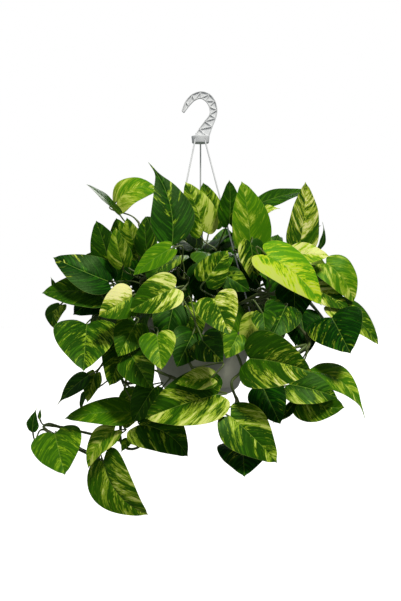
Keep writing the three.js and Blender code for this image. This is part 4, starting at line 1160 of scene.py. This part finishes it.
def rounded(profile, radius, steps=4):
    """The profile with each inner corner turned into an arc of about this radius."""
    profile = [np.asarray(point, float) for point in profile]
    points = [profile[0]]
    for before, corner, after in zip(profile, profile[1:], profile[2:]):
        reach = min(radius, distance(before, corner) * 0.45, distance(after, corner) * 0.45)
        start = corner + unit(before - corner) * reach
        end = corner + unit(after - corner) * reach
        for k in range(steps + 1):
            t = k / steps
            points.append(start * (1 - t) ** 2 + corner * 2 * t * (1 - t) + end * t**2)
    return [*points, profile[-1]]


def strand_ends(at_cap, at_rim):
    return polar(STRAND_CAP_CIRCLE, at_cap, CAP_TOP_Z), polar(STRAND_RIM_CIRCLE, at_rim, POT_RIM_Z)


def rod(name, start, end, radius, sides):
    """A plain round bar, to cut a hole with."""
    start, end = Vector((np.asarray(start) * MM).tolist()), Vector((np.asarray(end) * MM).tolist())
    bpy.ops.mesh.primitive_cylinder_add(
        vertices=sides, radius=radius * MM, depth=(end - start).length, location=(0, 0, 0),
    )
    bar = bpy.context.object
    bar.name = name
    turn = (end - start).to_track_quat("Z", "Y").to_matrix().to_4x4()
    turn.translation = (start + end) / 2
    bar.data.transform(turn)
    return bar


def cut(piece, bars):
    for bar in bars:
        modifier = piece.modifiers.new(bar.name, "BOOLEAN")
        modifier.object = bar
        modifier.operation = "DIFFERENCE"
        modifier.solver = "EXACT"
    baked(piece)
    for bar in bars:
        bpy.data.objects.remove(bar)
    piece.data.set_sharp_from_angle(angle=math.radians(SHARP_ANGLE))


def strand_bars():
    bars = []
    for side, azimuths in STRAND_AZIMUTHS.items():
        top, bottom = strand_ends(*azimuths)
        past = unit(bottom - top) * 20
        bars.append(rod(f"bore_{side}", top - past, bottom + past, STRAND_RADIUS + STRAND_PLAY, 24))
    return bars


def pot_lining(inwards):
    """The pot's outside moved inwards, from the foot upwards, as radius and height."""
    return [
        [radius - (1 if i < 1 else inwards), POT_FOOT_Z + height + inwards * (1 if i < 3 else 0.25)]
        for i, (radius, height) in enumerate(POT_OUTSIDE)
    ]


def make_pot():
    outside = [[radius, POT_FOOT_Z + height] for radius, height in POT_OUTSIDE]
    inside = pot_lining(POT_WALL)
    wall = rounded([[0, POT_FOOT_Z], *outside], POT_CORNER)
    lip = rounded([
        wall[-1],
        [POT_RIM_RADIUS, POT_RIM_Z - RIM_THICKNESS],
        [POT_RIM_RADIUS, POT_RIM_Z],
        [inside[-1][0] + 0.6, POT_RIM_Z],
        inside[-1],
    ], RIM_CORNER)
    lining = rounded([*inside[::-1], [0, inside[0][1]]], POT_CORNER)
    pot = lathe("pot_shell", [*wall, *lip[1:-1], *lining], POT_SIDES, POT_PLASTIC)
    bars = strand_bars()
    for i in range(4):
        below = polar(DRAIN_CIRCLE, 45 + i * 90, POT_FOOT_Z - 5)
        bars.append(rod(f"drain_{i}", below, below + np.array([0, 0, 15]), DRAIN_RADIUS, 32))
    cut(pot, bars)
    finish_piece(pot, "pot", "pot")


def make_strand(side, azimuths):
    top, bottom = strand_ends(*azimuths)
    along = unit(bottom - top)
    # Distance from the top end and radius: the head on the cap, the strand, the button under the rim
    length = distance(top, bottom)
    under = length + RIM_THICKNESS + BUTTON_BELOW_RIM
    head = [[-4.8, 0.2], [-4.6, 0.9], [-4, 1.45], [-3.2, 1.7], [-2.4, 1.5], [-1.8, STRAND_RADIUS]]
    plain = [[part, STRAND_RADIUS] for part in (0, *np.linspace(6, length, 24), under - 0.3)]
    button = [[0, 2.1], [0.3, 2.5], [1.7, 2.5], [2, 2.2], [2.01, 0.3]]
    parts, radii = np.array([*head, *plain, *([under + part, radius] for part, radius in button)]).T
    lines = [(top + along * parts[:, None], radii, np.column_stack([radii, radii, radii]))]
    strand = make_tubes(f"strand_{side}_line", lines, STRAND_SIDES, HOOK_PLASTIC)
    finish_piece(strand, "hanger", f"strand_{side}")


# Hook, in outline as [across, up]: down the outside from the open end, and the inside likewise
HOOK_OUTER = [
    [-29.8, -19], [-24, -4.4], [-13.5, 6.8], [0.8, 11.5], [14.6, 7.4], [23.4, -3.4],
    [27, -17.8], [24.7, -31], [19.2, -44.8], [13.6, -62],
]
HOOK_INNER = [
    [-26.1, -22.7], [-18.4, -12.4], [-9.6, -3.4], [0, 0], [8.2, -4.4], [13.6, -13.4],
    [14.2, -25.6], [6.6, -36.4], [-2.6, -48.8], [-10.9, -62],
]


def moulded_bar(path, width, depth, corner=0.4):
    """A bar of round-cornered section along a path of [across, up] points."""
    path = np.asarray(path, float)
    tangent = unit_rows(np.gradient(path, axis=0))
    aside = np.column_stack([-tangent[:, 1], tangent[:, 0]])
    section = []
    for k, (sx, sy) in enumerate([(1, 1), (-1, 1), (-1, -1), (1, -1)]):
        for part in (0, 0.5, 1):
            angle = math.radians(90 * (k + part))
            section.append([
                sx * (width / 2 - corner) + corner * math.cos(angle),
                sy * (depth / 2 - corner) + corner * math.sin(angle),
            ])
    section = np.array(section)
    across = path[:, None, :] + aside[:, None, :] * section[None, :, :1]
    depths = np.broadcast_to(section[None, :, 1], across.shape[:2])
    places = np.stack([across[..., 0], depths, across[..., 1]], axis=-1).reshape(-1, 3)
    count = len(section)
    faces = [
        [i + k, i + (k + 1) % count, i + count + (k + 1) % count, i + count + k]
        for i in range(0, len(places) - count, count)
        for k in range(count)
    ]
    faces.append(list(range(count))[::-1])
    faces.append(list(range(len(places) - count, len(places))))
    return places, faces


def web_plate(outer, inner, depth):
    """The thin plate between the hook's two outlines."""
    count = len(outer)
    flat = np.vstack([outer, inner])
    places = np.vstack([
        np.column_stack([flat[:, 0], np.full(len(flat), side * depth / 2), flat[:, 1]]) for side in (-1, 1)
    ])
    faces = []
    for i in range(count - 1):
        front = [i, i + 1, count + i + 1, count + i]
        faces.append(front[::-1])
        faces.append([2 * count + corner for corner in front])
        for a, b in ((i, i + 1), (count + i + 1, count + i)):
            faces.append([a, b, b + 2 * count, a + 2 * count])
    for a, b in ((0, count), (2 * count - 1, count - 1)):
        faces.append([b, a, a + 2 * count, b + 2 * count])
    return places, faces


def make_hook():
    steps = 8
    outer, inner = smooth_line(HOOK_OUTER, steps), smooth_line(HOOK_INNER, steps)
    inwards = unit_rows(inner - outer)
    outer_rim = outer + inwards * HOOK_RIM / 2
    inner_rim = inner - inwards * HOOK_RIM / 2
    parts = [web_plate(outer_rim, inner_rim, HOOK_WEB)]
    for path in (outer_rim, inner_rim, [outer_rim[0], inner_rim[0]]):
        parts.append(moulded_bar(path, HOOK_RIM, HOOK_DEPTH))
    for i in range(0, len(outer) - 1, steps):
        for end in (inner_rim[i], inner_rim[i + steps]):
            parts.append(moulded_bar([outer_rim[i + steps], end], HOOK_RIB, HOOK_DEPTH - 0.3, 0.5))
    hook = new_piece("hook_body", *merged(parts), HOOK_PLASTIC, sharp=50)
    finish_piece(hook, "hanger", "hanger_hook")
    cap = lathe("hook_cap", rounded([
        [0, CAP_BOTTOM_Z],
        [CAP_BOTTOM_RADIUS, CAP_BOTTOM_Z],
        [CAP_TOP_RADIUS, CAP_TOP_Z],
        [0, CAP_TOP_Z],
    ], CAP_CORNER), CAP_SIDES, HOOK_PLASTIC)
    cut(cap, strand_bars())
    finish_piece(cap, "hanger", "hanger_hook")


def crumb_tree():
    """Lumpy soil: the top is raised and lowered, and crumbs lie on it."""
    bed = Shaping("crumbs", Density="Float", Largest="Float")
    place = bed.add("GeometryNodeInputPosition")[0]
    level = (POT_RIM_Z - SOIL_BELOW_RIM - 0.2) * MM
    height = bed.parts(place)["Z"]
    top = bed.add("FunctionNodeCompare", {0: height, 1: level}, operation="GREATER_THAN")[0]
    lumps = bed.maths("SUBTRACT", bed.noise(place, 95.0, 4.0, 0.5), 0.55)
    rise = bed.vector(0.0, 0.0, bed.times(lumps, LUMP_HEIGHT * MM))
    ground = bed.add("GeometryNodeSetPosition", {
        "Geometry": bed.given["Geometry"], "Selection": top, "Offset": rise,
    })[0]
    spots = bed.add("GeometryNodeDistributePointsOnFaces", {
        "Mesh": ground, "Selection": top, "Density": bed.given["Density"], "Seed": 7,
    })[0]
    ball = bed.add("GeometryNodeMeshIcoSphere", {"Radius": 1.0, "Subdivisions": 2})[0]
    dents = bed.noise(place, 1.6, 2.0, 0.5)
    dented = bed.add("ShaderNodeVectorMath", {0: place, "Scale": dents}, operation="SCALE")[0]
    crumb = bed.add("GeometryNodeSetPosition", {"Geometry": ball, "Position": dented})[0]
    part = bed.add("FunctionNodeRandomValue", {2: 0.25, 3: 1.0, "Seed": 3}, data_type="FLOAT")[1]
    size = bed.times(part, bed.given["Largest"])
    most = (FULL_TURN, FULL_TURN, FULL_TURN)
    turn = bed.add("FunctionNodeRandomValue", {1: most, "Seed": 5}, data_type="FLOAT_VECTOR")[0]
    crumbs = bed.add("GeometryNodeInstanceOnPoints", {
        "Points": spots, "Instance": crumb, "Scale": size, "Rotation": turn,
    })[0]
    both = bed.tree.nodes.new("GeometryNodeJoinGeometry")
    bed.feed(both.inputs[0], ground)
    bed.feed(both.inputs[0], crumbs)
    return bed.result(both.outputs[0])


def make_soil():
    side = pot_lining(POT_WALL + SOIL_GAP)[:-1]
    rim = [side[-1][0] + 4.6, soil_top(POT_RIM_RADIUS) - 1]
    top = [[radius, soil_top(radius)] for radius in np.arange(rim[0] - 1.5, 1, -SOIL_STEP)]
    profile = [[0, side[0][1]], *side, rim, *top, [0, soil_top(0)]]
    soil = lathe("soil_bed", profile, SOIL_SIDES, SOIL)
    largest = LARGEST_CRUMB * MM
    run_tree(soil, crumb_tree(), Density=CRUMBS_PER_SQUARE_METRE, Largest=largest, Material=SOIL)
    finish_piece(soil, "soil", "soil")


make_camera()
make_studio()
make_floor()
make_vines()
make_pot()
make_soil()
make_hook()
for side, azimuths in STRAND_AZIMUTHS.items():
    make_strand(side, azimuths)
